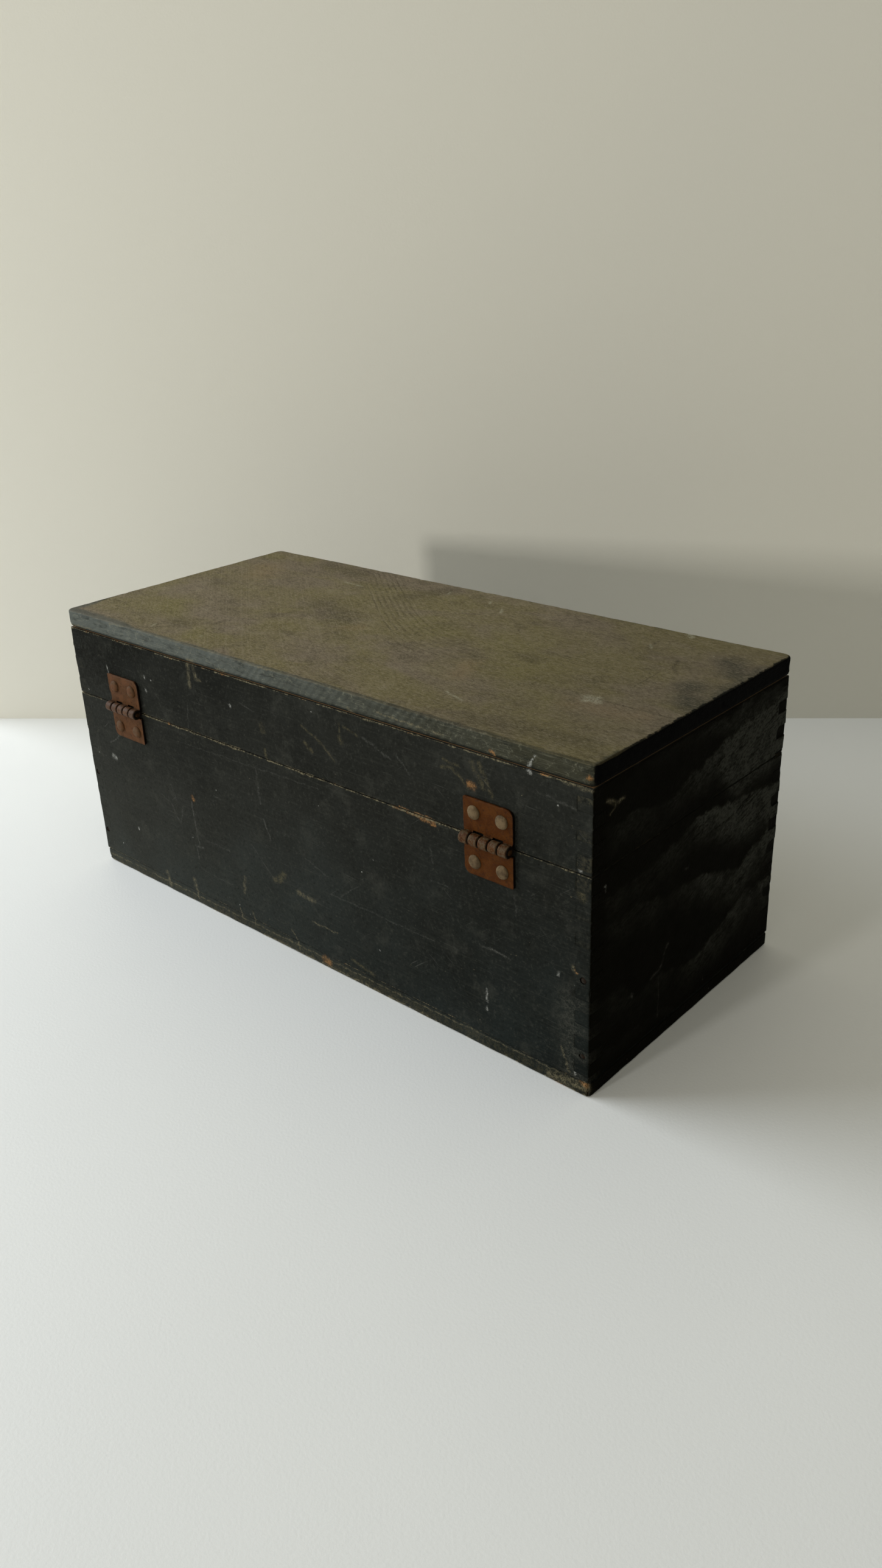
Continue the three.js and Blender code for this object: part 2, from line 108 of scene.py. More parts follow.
def placed(bm, name):
    """A bmesh as a new piece of that name."""
    mesh = bpy.data.meshes.new(name)
    bm.to_mesh(mesh)
    bm.free()
    piece = bpy.data.objects.new(name, mesh)
    bpy.context.scene.collection.objects.link(piece)
    return piece


def reworked(node, name, cells, halvings, strips, reshape, more_cuts=(), raised=None):
    """A finely divided copy of a solid, each point of it moved by reshape, which works in mm.

    cells are the sizes of its divisions along the three axes, and more_cuts are further places along x.
    raised gives each point its value of the attribute of that name.
    """
    bm = blank(node)
    low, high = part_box(node)
    for axis in range(3):
        across = Vector([1.0 if axis == side else 0.0 for side in range(3)])
        places = cut_places(low[axis] / mm, high[axis] / mm, cells[axis], strips)
        if axis == 0:
            places += more_cuts
        for place in sorted(places):
            parts = [*bm.verts, *bm.edges, *bm.faces]
            bmesh.ops.bisect_plane(bm, geom=parts, plane_co=across * place * mm, plane_no=across, dist=weld)
    piece = placed(bm, name)
    coarse = piece.data
    divide = piece.modifiers.new("divide", "SUBSURF")
    divide.subdivision_type = "SIMPLE"
    divide.levels = divide.render_levels = halvings
    bpy.context.view_layer.update()
    shaped = piece.evaluated_get(bpy.context.evaluated_depsgraph_get())
    fine = bpy.data.meshes.new_from_object(shaped)
    piece.modifiers.clear()
    piece.data = fine
    bpy.data.meshes.remove(coarse)
    for vertex in fine.vertices:
        vertex.co = reshape(vertex.co / mm) * mm
    if raised:
        height = fine.attributes.new("raised", "FLOAT", "POINT")
        for vertex in fine.vertices:
            height.data[vertex.index].value = raised(vertex.co / mm)
    fine.shade_smooth()
    fine.set_sharp_from_angle(angle=smooth_below)
    fine.update()
    return piece


def fitted(piece, node, finish):
    """The piece takes its finish, stands for its node and moves with the node's body."""
    piece.data.materials.clear()
    piece.data.materials.append(finish)
    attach(piece, frame["nodes"][node]["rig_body"])
    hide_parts(node)


def rounded(a, b, edge_a, edge_b, radius):
    """Two distances from the middle, with the square corner between two faces worn round."""
    over_a, over_b = a - (edge_a - radius), b - (edge_b - radius)
    if over_a <= 0 or over_b <= 0:
        return a, b
    shrink = max(over_a, over_b) / math.hypot(over_a, over_b)
    return edge_a - radius + over_a * shrink, edge_b - radius + over_b * shrink


def rough(point, size):
    """Smooth noise from -1 to 1 whose bumps are about size mm across."""
    return noise.noise(point / size)


def swell(point, size):
    """The same noise, from 0 to 1."""
    return 0.5 + 0.5 * rough(point, size)


def eased(share):
    """0 below 0, 1 above 1, and a soft change between them."""
    share = max(0.0, min(1.0, share))
    return share * share * (3 - 2 * share)


finger_low = 10.5
finger_pitch = 12.2
finger_height = 6.1
lid_finger_low = 105.6
joint_gap = 0.25
joint_reach = 0.3
joint_left_open = 0.1
end_thick = 7.5
side_thick = 8.5
skin_depth = 4.0


def drawn_up(value, line):
    """A face beside a glue line is drawn up to it, so that the paint all but hides the joint."""
    if abs(value - line) < joint_reach:
        return line + (value - line) * joint_left_open
    return value


def glued(x, y, z):
    """Closes the joints between the fingers, as glue and paint do. x and y are distances from the middle."""
    in_box = z < (box_high + lid_low) / 2
    first = finger_low if in_box else lid_finger_low
    low, high = (box_low, box_high) if in_box else (lid_low, lid_high)
    for line in (first - joint_gap / 2, first + finger_height + joint_gap / 2):
        nearest = line + finger_pitch * round((z - line) / finger_pitch)
        if low + joint_reach < nearest < high - joint_reach:
            z = drawn_up(z, nearest)
    x = drawn_up(x, box_half_length - end_thick - joint_gap / 2)
    y = drawn_up(y, box_half_depth - side_thick - joint_gap / 2)
    return x, y, z


# Each line of the grain on an end board is where a raised band starts, as places (y, z). With it go how much
# the band shows, how far down it stays high, and over how much more it falls away.
grain_lines = (
    (0.25, 8.0, 10.0,
     ((76, 110), (50, 139), (-76, 140))),
    (0.95, 22.0, 18.0,
     ((76, 122), (50, 121), (32, 117), (20, 118), (4, 123), (-25, 128), (-50, 132), (-76, 133))),
    (1.0, 9.0, 20.0,
     ((76, 92), (34, 92), (17, 94), (4, 99), (-12, 99), (-30, 96), (-54, 93), (-76, 90))),
    (0.8, 5.0, 20.0,
     ((76, 78), (45, 77), (20, 72), (-6, 70), (-14, 66), (-25, 63), (-40, 60), (-55, 64), (-76, 72))),
    (0.7, 2.0, 22.0,
     ((76, 44), (54, 44), (42, 33), (26, 35), (0, 28), (-20, 33), (-50, 42), (-76, 40))),
    (0.6, 0.0, 8.0,
     ((76, 18), (40, 17), (20, 15), (0, 2), (-76, -20))),
)
grain_turn = 20.0
grain_rise = 48.0
grain_long_from = -8.0
grain_long_over = 30.0
grain_edge = 1.0
grain_waver = 2.0
grain_waver_size = 14.0
grain_shiver = 1.6
grain_shiver_size = 4.0
grain_near_end = 0.22
grain_near_corner = 71.0
grain_near_fade = 12.0
grain_relief = 0.42
grain_bottom = 0.6
grain_full_height = 90.0
grain_patchy = 0.8
grain_broad = 0.6
grain_broad_size = 16.0
grain_fine = 0.5
grain_fine_size = 5.0
grain_layer = 3.0


def line_height(line, y):
    """The height of a line of the grain at y, by soft steps between its places."""
    for (y1, z1), (y2, z2) in zip(line, line[1:]):
        if y2 <= y <= y1:
            return z1 + (z2 - z1) * eased((y1 - y) / (y1 - y2))
    return line[0][1] if y > line[0][0] else line[-1][1]


def grain_band(point):
    """How far the grain stands up at a place on an end board, from 0 to 1."""
    y = point.y if point.x < 0 else -point.y
    flat = Vector((math.copysign(grain_layer, point.x), point.y, point.z))
    z = point.z + grain_waver * rough(flat, grain_waver_size)
    z += grain_shiver * rough(flat, grain_shiver_size)
    found = 0.0
    longer = eased((grain_long_from - y) / grain_long_over)
    for strength, flat_part, fall, line in grain_lines:
        under = line_height(line, y) - z
        here = strength * eased(under / grain_edge) * (1 - eased((under - flat_part * longer) / fall))
        found = max(found, here)
    across = grain_near_end + (1 - grain_near_end) * eased((grain_turn - y) / grain_rise)
    upward = grain_bottom + (1 - grain_bottom) * eased(point.z / grain_full_height)
    patchy = grain_patchy + grain_broad * rough(flat, grain_broad_size)
    patchy += grain_fine * rough(flat, grain_fine_size)
    kept = across * upward * patchy * eased((grain_near_corner - y) / grain_near_fade)
    return max(0.0, min(1.0, found * kept))


corner_wear = 1.0
corner_wear_change = 0.5
corner_wear_size = 17.0
arris_wear = 0.4
arris_wear_change = 0.35
arris_wear_size = 11.0
nick_size = 4.2
nick_from = 0.28
nick_depth = 1.5
face_waves = 0.16
face_wave_size = 38.0
finger_sunk = 0.9


def nicked(point, size, start, depth):
    """How deep a nick goes at a place: only the highest bumps of the noise leave one."""
    return max(0.0, rough(point, size) - start) * depth


def skin_share(inside):
    """1 on a face, and 0 from skin_depth mm inside it, so that what moves a face fades within the board."""
    return max(0.0, 1 - inside / skin_depth)


def in_its_quarter(point, x, y, z):
    """A place worked out from its distances from the middle, back in the quarter of the chest it is from."""
    return Vector((math.copysign(x, point.x), math.copysign(y, point.y), z))


def weathered(point, low, high, is_end):
    """A point of a frame board, moved by wear: round corners, nicked arrises, uneven faces, raised grain."""
    x, y, z = glued(abs(point.x), abs(point.y), point.z)
    worn = corner_wear + corner_wear_change * rough(Vector((point.x, point.y, z)), corner_wear_size)
    nick = nicked(point, nick_size, nick_from, nick_depth)
    near_end = skin_share(box_half_length - x)
    near_side = skin_share(box_half_depth - y)
    x, y = rounded(x, y, box_half_length, box_half_depth, worn + nick)
    arris = arris_wear + arris_wear_change * rough(point, arris_wear_size) + nick / 2
    y, z = rounded(y, z, box_half_depth, high, arris)
    x, z = rounded(x, z, box_half_length, high, arris)
    y, down = rounded(y, -z, box_half_depth, -low, arris)
    x, down = rounded(x, down, box_half_length, -low, arris)
    y -= near_side * face_waves * swell(point, face_wave_size)
    sunk = 1 - grain_band(point) if is_end else finger_sunk
    x -= near_end * grain_relief * sunk
    return in_its_quarter(point, x, y, -down)


facing_from = 0.55
facing_full = 0.8
speck_edge = 0.02
ragged_finer = 9


class Finish:
    """A material built a node at a time. Each call returns the new node's output, and places are in mm."""

    def __init__(self, name):
        self.material = bpy.data.materials.new(name)
        self.material.use_nodes = True
        self.tree = self.material.node_tree
        self.tree.nodes.clear()
        object_place = self.add("ShaderNodeTexCoord", out="Object")
        self.normal = self.tree.nodes[-1].outputs["Normal"]
        self.place = self.add("ShaderNodeMapping", {"Vector": object_place, "Scale": (1 / mm,) * 3})
        self.x = self.add("ShaderNodeSeparateXYZ", {"Vector": self.place}, out="X")
        split = self.tree.nodes[-1]
        self.y, self.z = split.outputs["Y"], split.outputs["Z"]

    def add(self, kind, inputs=None, out=0, **settings):
        made = self.tree.nodes.new(kind)
        for name, value in settings.items():
            setattr(made, name, value)
        for name, value in (inputs or {}).items():
            if isinstance(value, bpy.types.NodeSocket):
                self.tree.links.new(value, made.inputs[name])
            else:
                made.inputs[name].default_value = value
        return made.outputs[out]

    def math(self, operation, a, b=0.0):
        return self.add("ShaderNodeMath", {0: a, 1: b}, operation=operation)

    def chained(self, operation, values):
        found = values[0]
        for value in values[1:]:
            found = self.math(operation, found, value)
        return found

    def plus(self, *values):
        return self.chained("ADD", values)

    def times(self, *values):
        return self.chained("MULTIPLY", values)

    def most(self, *values):
        return self.chained("MAXIMUM", values)

    def least(self, *values):
        return self.chained("MINIMUM", values)

    def less(self, value, taken):
        return self.math("SUBTRACT", value, taken)

    def other(self, value):
        return self.less(1.0, value)

    def kept(self, value):
        """The value kept between 0 and 1.

        A node's own clamp is computed after all the others and fills the renderer's stack, so none is used.
        """
        return self.least(self.most(value, 0.0), 1.0)

    def facing(self, axis):
        """1 on the faces that look along an axis, either way."""
        part = self.add("ShaderNodeSeparateXYZ", {"Vector": self.normal}, out=axis)
        return self.step(self.math("ABSOLUTE", part), facing_from, facing_full)

    def step(self, value, low, high):
        """0 below low, 1 above high, and a soft change between them; low may be the greater of the two."""
        ends = {"Value": value, "From Min": low, "From Max": high}
        return self.add("ShaderNodeMapRange", ends, interpolation_type="SMOOTHSTEP", clamp=False)

    def spread(self, value, low, high):
        """A value from 0 to 1 brought between low and high."""
        return self.add("ShaderNodeMath", {0: value, 1: high - low, 2: low}, operation="MULTIPLY_ADD")

    def mix(self, amount, first, second, blend="MIX"):
        colours = {0: amount, 6: first, 7: second}
        return self.add("ShaderNodeMix", colours, out=2, data_type="RGBA", blend_type=blend)

    def layered(self, colour, *layers):
        """A colour with others laid over it in turn.

        Each layer is a pattern, where in the pattern it starts, where it is full, how much it covers, and its
        shade.
        """
        for pattern, start, full, amount, shade in layers:
            colour = self.mix(self.times(self.step(pattern, start, full), amount), colour, shade)
        return colour

    def relief(self, *layers):
        """Bumps laid over each other, each a height from 0 to 1 and the mm that it stands for."""
        bumps = {}
        for height, reach in layers:
            bumps |= {"Height": height, "Distance": reach * mm}
            bumps["Normal"] = self.add("ShaderNodeBump", bumps)
        return bumps["Normal"]

    def noise(self, size, stretch=(1, 1, 1), turn=(0, 0, 0), detail=3.0, roughness=0.55, bend=0.0):
        """Noise whose marks are about size mm across, longer along an axis where stretch is above 1."""
        place = self.place
        if turn != (0, 0, 0):
            turned = {"Vector": place, "Rotation": tuple(math.radians(angle) for angle in turn)}
            place = self.add("ShaderNodeMapping", turned)
        scale = tuple(1 / (size * longer) for longer in stretch)
        place = self.add("ShaderNodeMapping", {"Vector": place, "Scale": scale})
        look = {"Vector": place, "Scale": 1.0, "Detail": detail, "Roughness": roughness, "Distortion": bend}
        return self.add("ShaderNodeTexNoise", look)

    def specks(self, place, spacing, size, share):
        """Specks about size mm across in a share of cells spacing mm wide."""
        distance = self.add("ShaderNodeTexVoronoi", {"Vector": place, "Scale": 1 / spacing})
        lot = self.add("ShaderNodeSeparateColor", {"Color": self.tree.nodes[-1].outputs["Color"]})
        dot = self.step(distance, size / spacing / 2, size / spacing / 4)
        return self.times(dot, self.step(lot, 1 - share, 1 - share + speck_edge))

    def shaken(self, size, wide, ragged, ways=(1, 1, 1)):
        """The places shifted by noise: in slow bends up to wide mm, and in a fine ragged edge.

        ways has a 0 for the axis along which no place is shifted.
        """
        shaky = self.place
        for across, reach in ((size, wide), (size / ragged_finer, ragged)):
            look = {"Vector": self.place, "Scale": 1 / across, "Detail": 2.0}
            shake = self.add("ShaderNodeTexNoise", look, out="Color")
            shake = self.add("ShaderNodeVectorMath", {0: shake, 1: (0.5,) * 3}, operation="SUBTRACT")
            reaches = tuple(reach * way for way in ways)
            shake = self.add("ShaderNodeVectorMath", {0: shake, 1: reaches}, operation="MULTIPLY")
            shaky = self.add("ShaderNodeVectorMath", {0: shaky, 1: shake}, operation="ADD")
        return shaky

    def surface(self, colour, roughness, normal, specular):
        look = {"Base Color": colour, "Roughness": roughness, "Normal": normal}
        look["Specular IOR Level"] = specular
        return self.shown(self.add("ShaderNodeBsdfPrincipled", look))

    def shown(self, surface):
        end = self.tree.nodes.new("ShaderNodeOutputMaterial")
        self.tree.links.new(surface, end.inputs["Surface"])
        return self.material


def stroke_recipe():
    """The nodes of one painted-through stroke: how near a place is to the line from start to end."""
    recipe = bpy.data.node_groups.new("stroke", "ShaderNodeTree")
    for name, kind in (("Place", "Vector"), ("Start", "Vector"), ("End", "Vector"), ("Width", "Float")):
        recipe.interface.new_socket(name=name, in_out="INPUT", socket_type="NodeSocket" + kind)
    recipe.interface.new_socket(name="Amount", in_out="OUTPUT", socket_type="NodeSocketFloat")
    nodes, links = recipe.nodes, recipe.links
    given, result = nodes.new("NodeGroupInput"), nodes.new("NodeGroupOutput")

    def vector(operation, first, second, scale=None):
        made = nodes.new("ShaderNodeVectorMath")
        made.operation = operation
        links.new(first, made.inputs[0])
        if second is not None:
            links.new(second, made.inputs[1])
        if scale is not None:
            links.new(scale, made.inputs["Scale"])
        return made

    from_start = vector("SUBTRACT", given.outputs["Place"], given.outputs["Start"]).outputs[0]
    whole = vector("SUBTRACT", given.outputs["End"], given.outputs["Start"]).outputs[0]
    along = vector("DOT_PRODUCT", from_start, whole).outputs["Value"]
    full = vector("DOT_PRODUCT", whole, whole).outputs["Value"]
    share = nodes.new("ShaderNodeMath")
    share.operation = "DIVIDE"
    links.new(along, share.inputs[0])
    links.new(full, share.inputs[1])
    for operation, limit in (("MAXIMUM", 0.0), ("MINIMUM", 1.0)):
        kept = nodes.new("ShaderNodeMath")
        kept.operation = operation
        kept.inputs[1].default_value = limit
        links.new(share.outputs[0], kept.inputs[0])
        share = kept
    foot = vector("SCALE", whole, None, share.outputs[0]).outputs[0]
    away = vector("DISTANCE", from_start, foot).outputs["Value"]
    fade = nodes.new("ShaderNodeMapRange")
    fade.interpolation_type = "SMOOTHSTEP"
    fade.clamp = False
    links.new(away, fade.inputs["Value"])
    links.new(given.outputs["Width"], fade.inputs["From Min"])
    fade.inputs["From Max"].default_value = 0.0
    links.new(fade.outputs[0], result.inputs["Amount"])
    return recipe


stroke_nodes = stroke_recipe()


def strokes(finish, shaky, marks):
    """All the strokes of one kind, laid over the shaky places. Each is (start, end, width) in mm."""
    found = None
    for start, end, width in marks:
        line = {"Place": shaky, "Start": start, "End": end, "Width": width}
        laid = finish.add("ShaderNodeGroup", line, node_tree=stroke_nodes)
        found = laid if found is None else finish.most(found, laid)
    return found


def marked(finish, colour, shaky, broken, marks):
    """A colour with its marks, a kind at a time: each kind is its shade, its amount and its strokes."""
    for shade, amount, chosen in marks:
        laid = finish.times(strokes(finish, shaky, chosen), broken, amount)
        colour = finish.mix(laid, colour, shade)
    return colour


paint_dark = (0.0056, 0.0060, 0.0048, 1)
paint_haze_and_sheen = (0.0300, 0.0308, 0.0260, 1)
paint_blue = (0.80, 1.0, 1.14, 1)
paint_dusty = (0.048, 0.048, 0.039, 1)
# The end faces are painted in this black, darker than the long faces' paint: painted shade. It is also the
# black of fine grime and of some dark patches.
grime_and_end_shade_black = (0.0029, 0.0026, 0.0013, 1)
# The lighter dust on the ends' raised bands, which is partly a painted sheen.
end_dust_and_sheen = (0.037, 0.038, 0.031, 1)
finger_tan = (0.040, 0.036, 0.023, 1)
scratch_grey = (0.105, 0.104, 0.092, 1)
chalk = (0.46, 0.46, 0.42, 1)
tan_wood = (0.150, 0.130, 0.080, 1)
olive_rub = (0.096, 0.082, 0.044, 1)
fresh_wood = (0.30, 0.15, 0.055, 1)
# Black for painted shade: in nail holes that are not modelled, beside the hinge leaves, on the hinges' faces
# that look towards -x, and on the top board's end edges.
painted_shade_black = (0.002, 0.002, 0.002, 1)
stain = (0.026, 0.020, 0.011, 1)
paint_shine = 0.006
bare_light = (0.36, 0.225, 0.115, 1)
bare_dark = (0.225, 0.128, 0.060, 1)
bare_dirt = (0.075, 0.045, 0.024, 1)
fibre_stretch = 42.0
streak_height = 0.4


def bare_boards(finish, stretch):
    """The colour and the height of bare softwood gone brown, with streaks and fine fibres along the board."""
    streaks = finish.noise(5.5, stretch, detail=5.0, roughness=0.6, bend=0.25)
    fibres = finish.noise(0.45, stretch, detail=3.0)
    dirt = finish.noise(28.0, detail=5.0, roughness=0.65)
    colour = finish.layered(
        bare_light,
        (streaks, 0.30, 0.74, 1.0, bare_dark),
        (fibres, 0.50, 0.80, 1.0, bare_dark),
        (dirt, 0.50, 0.75, 0.6, bare_dirt),
    )
    return colour, finish.plus(finish.times(streaks, streak_height), fibres)


def from_arrises(finish, half_length, half_depth, low, high):
    """How far in mm a place on a box is from its ends, nearest wall, corners, upper arris and lower arris."""
    end = finish.less(half_length, finish.math("ABSOLUTE", finish.x))
    side = finish.less(half_depth, finish.math("ABSOLUTE", finish.y))
    inward = finish.least(end, side)
    corner = finish.most(end, side)
    upper = finish.most(inward, finish.less(high, finish.z))
    lower = finish.most(inward, finish.less(finish.z, low))
    return end, inward, corner, upper, lower


# An arris is rubbed through in runs about worn_run mm long, from worn_thin to worn_wide of the width. The
# edge of the line is ragged, the more so the wider it is.
worn_run = 19.0
worn_thin = 0.35
worn_wide = 1.25
worn_slack = 0.25
worn_slack_share = 0.9
worn_start = 0.2
worn_full = -0.4


def worn_line(finish, distance, width, ragged):
    """Where an arris is rubbed through, in a ragged line about width mm wide, broken in places."""
    runs = finish.step(finish.noise(worn_run, detail=3.0), 0.36, 0.62)
    reach = finish.spread(runs, worn_thin, worn_wide)
    edge = finish.less(distance, finish.times(reach, width))
    slack = worn_slack + width * worn_slack_share
    edge = finish.plus(edge, finish.spread(ragged, -slack * 2, slack * 2))
    return finish.step(edge, slack * worn_start, slack * worn_full)


# How the haze on the black paint changes along the chest and down it, and where it turns blue. Its rise
# towards the end at +x is a painted sheen of the light, and it also grows towards the bottom.
sheen_along = 0.0027
sheen_turn = -0.000022
haze_up = -0.0022
haze_low = 0.18
haze_high = 0.92
blue_along = -0.0016
blue_up = -0.0060
blue_low = 0.1
blue_high = 0.95


def hazy_black(paint, tone):
    """Black paint under its haze, which also has large clouds of its own and a painted sheen towards the end
    at +x.
    """
    sheen_slope = paint.plus(paint.times(paint.z, sheen_turn), sheen_along)
    haze_gradient = paint.plus(paint.times(paint.x, sheen_slope), paint.times(paint.z, haze_up))
    haze = paint.kept(paint.plus(haze_gradient, paint.spread(tone, haze_low, haze_high)))
    colour = paint.mix(haze, paint_dark, paint_haze_and_sheen)
    bluer = paint.plus(paint.times(paint.x, blue_along), paint.times(paint.z, blue_up))
    bluer = paint.kept(paint.plus(bluer, paint.spread(tone, blue_low, blue_high)))
    return paint.mix(bluer, colour, paint_blue, "MULTIPLY")


# The hair-fine scratches run three ways. Each way is a size, a stretch, a turn, and where in the noise its
# scratches start and are full. The ends have fewer of them.
hair_ways = (
    (0.42, (70, 70, 1), (38, 31, 0), 0.69, 0.80),
    (0.50, (1, 60, 45), (0, 52, 12), 0.70, 0.81),
    (0.40, (80, 80, 1), (0, 3, 0), 0.68, 0.79),
)
hair_amount = 0.36
hair_amount_on_end = 0.08


def hair_scratches(paint, on_end):
    """How much a hair-fine scratch shows at a place, in the patches where they gather."""
    found = []
    for size, stretch, turn, start, full in hair_ways:
        found.append(paint.step(paint.noise(size, stretch, turn, detail=1.0), start, full))
    gathered = paint.step(paint.noise(14.0, detail=3.0, roughness=0.65), 0.50, 0.70)
    return paint.times(paint.most(*found), gathered, paint.spread(on_end, hair_amount, hair_amount_on_end))


skin_edge = 0.6
band_dust_and_sheen = 10.5
tan_low = 40.0
tan_high = 112.0
gap_shows = 0.25
rim_on_end = 0.12
rim_stain = 0.35
rim_core = 0.85
speck_on_end = 0.25
speck_chalk = 0.42
speck_tan = 0.55
paint_smooth = 0.34
paint_matt = 0.66
bare_matt = 0.35


def painted(name, low, high, along, dusty, patch, wear, marks):
    """Old black oil paint on a frame board, bare inside.

    along is the board's long axis. dusty and patch are how much dust and how much worn end grain show, and
    wear is how wide the corners, the upper arris and the lower arris are rubbed through, in mm.
    """
    paint = Finish(name)
    is_end = along == 1
    stretch = tuple(fibre_stretch if axis == along else 1.0 for axis in range(3))
    _, skin, corner, upper, lower = from_arrises(paint, box_half_length, box_half_depth, low, high)
    bare_colour, bare_height = bare_boards(paint, stretch)
    outside = paint.step(skin, outer_skin, outer_skin * skin_edge)
    on_end = paint.facing("X")

    tone = paint.noise(48.0, detail=4.0, roughness=0.6)
    smudge = paint.noise(13.0, detail=6.0, roughness=0.7)
    brush = paint.noise(0.8, (26, 26, 1), detail=3.0, roughness=0.6)
    grime = paint.noise(1.5, detail=4.0, roughness=0.75)
    colour = paint.layered(
        hazy_black(paint, tone),
        (smudge, 0.50, 0.75, dusty, paint_dusty),
        (brush, 0.50, 0.78, 0.16, paint_dusty),
        (grime, 0.52, 0.74, 0.42, paint_dusty),
        (grime, 0.46, 0.28, 0.50, grime_and_end_shade_black),
    )

    if is_end:
        raised = paint.add("ShaderNodeAttribute", out="Fac", attribute_name="raised")
        ridges = paint.noise(0.9, (1, 2.4, 1), (20, 0, 0), detail=4.0, roughness=0.85)
        cracks = paint.noise(2.6, (1, 5, 1), (16, 0, 0), detail=5.0, roughness=0.75)
        rough_wood = paint.times(paint.step(ridges, 0.34, 0.66), paint.step(cracks, 0.36, 0.48))
        # The raised bands are painted lighter: partly dust, partly a painted sheen on the ridges.
        raised_dust_and_sheen = paint.times(raised, rough_wood, dusty * band_dust_and_sheen)
        end_colour = paint.mix(raised_dust_and_sheen, grime_and_end_shade_black, end_dust_and_sheen)
        uneven = paint.noise(7.0, (9, 9, 1), detail=3.0, roughness=0.6)
        rubbed = paint.times(paint.step(grime, 0.40, 0.60), paint.step(paint.z, tan_low, tan_high))
        colour = paint.layered(colour, (uneven, 0.42, 0.62, paint.times(rubbed, patch), finger_tan))
    else:
        ridges = grime
        end_colour = paint.layered(grime_and_end_shade_black, (grime, 0.54, 0.74, 0.12, end_dust_and_sheen))
    # The faces that look along x take the end colour, painted darker than the long faces: painted shade.
    colour = paint.mix(on_end, colour, end_colour)

    shaky = paint.shaken(5.0, 2.6, 1.2, (0, 1, 1) if is_end else (1, 0, 1))
    hairs = hair_scratches(paint, on_end)
    colour = paint.mix(hairs, colour, scratch_grey)
    broken = paint.step(paint.noise(0.6, detail=4.0, roughness=0.8), 0.36, 0.62)
    gaps = paint.step(paint.noise(2.6, detail=3.0), 0.38, 0.56)
    broken = paint.times(broken, paint.spread(gaps, gap_shows, 1.0))
    colour = marked(paint, colour, shaky, broken, marks)

    ragged = paint.noise(1.4, (2.5, 2.5, 1), detail=5.0, roughness=0.75)
    arrises = [(distance, width) for distance, width in zip((corner, upper, lower), wear) if width > 0]
    lines = [worn_line(paint, distance, width, ragged) for distance, width in arrises]
    rim = paint.times(paint.most(*lines), paint.spread(on_end, 1.0, rim_on_end))
    colour = paint.mix(paint.times(rim, rim_stain), colour, stain)
    core = paint.times(rim, paint.step(paint.noise(1.0, detail=4.0, roughness=0.8), 0.44, 0.56))
    freshly = paint.step(paint.noise(8.0, detail=3.0), 0.63, 0.72)
    colour = paint.mix(paint.times(core, rim_core), colour, paint.mix(freshly, tan_wood, fresh_wood))
    pale = paint.specks(shaky, 8.5, 0.95, 0.26)
    small = paint.specks(shaky, 3.4, 0.5, 0.2)
    seen = paint.spread(on_end, 1.0, speck_on_end)
    colour = paint.mix(paint.times(pale, seen, speck_chalk), colour, chalk)
    colour = paint.mix(paint.times(small, seen, speck_tan), colour, tan_wood)

    colour = paint.mix(outside, bare_colour, colour)
    bare = paint.other(outside)
    gloss = paint.spread(smudge, paint_smooth, paint_matt)
    gloss = paint.kept(paint.plus(gloss, paint.times(bare, bare_matt)))
    relief = paint.relief(
        (brush, 0.05),
        (grime, 0.16),
        (paint.times(ridges, on_end), 0.50),
        (paint.times(bare_height, bare), 0.35),
        (paint.other(hairs), 0.10),
    )
    return paint.surface(colour, gloss, relief, paint_shine)


def on_back(*places):
    """Marks on the long face with the hinges, each (x, z, x, z, width) in mm."""
    face = box_half_depth
    return [((x1, face, z1), (x2, face, z2), wide) for x1, z1, x2, z2, wide in places]


def on_end(*places):
    """Marks on the left end, each (y, z, y, z, width) in mm."""
    face = -box_half_length
    return [((face, y1, z1), (face, y2, z2), wide) for y1, z1, y2, z2, wide in places]


box_back_scratches = on_back(
    (80.4, 62.0, 79.6, 44.0, 1.0),
    (79.6, 44.0, 78.6, 39.0, 0.9),
    (82.4, 36.6, 76.0, 37.2, 1.0),
    (81.6, 36.0, 80.6, 28.5, 0.8),
    (24.6, 86.0, 24.4, 78.0, 1.1),
    (23.0, 70.0, 18.8, 58.6, 0.8),
    (148.4, 78.4, 138.0, 85.4, 0.7),
    (-118.0, 52.2, -127.0, 51.6, 1.0),
)
box_back_faint = on_back(
    (100.5, 59.0, 93.0, 45.4, 0.8),
    (93.0, 45.4, 89.0, 56.6, 0.8),
    (110.0, 60.0, 100.0, 57.0, 0.6),
    (97.0, 68.0, 92.5, 57.0, 0.6),
    (24.8, 97.0, 24.6, 86.0, 0.7),
    (86.0, 95.0, 36.0, 96.3, 0.5),
    (36.0, 96.3, -19.0, 97.8, 0.6),
    (72.0, 42.6, 53.0, 42.6, 0.6),
    (78.0, 23.0, 54.0, 22.7, 0.5),
    (-22.0, 43.9, -87.0, 43.5, 0.7),
    (-28.0, 45.0, -41.0, 55.0, 0.5),
    (-87.0, 90.0, -88.0, 83.0, 0.9),
    (-86.0, 74.0, -96.0, 74.0, 0.7),
    (-113.0, 52.4, -130.0, 51.4, 0.8),
    (-132.0, 83.0, -133.0, 73.0, 0.7),
    (61.0, 71.0, 56.0, 71.0, 0.9),
    (34.0, 52.0, 20.0, 38.0, 0.6),
    (-5.0, 58.0, -20.0, 53.0, 0.6),
)
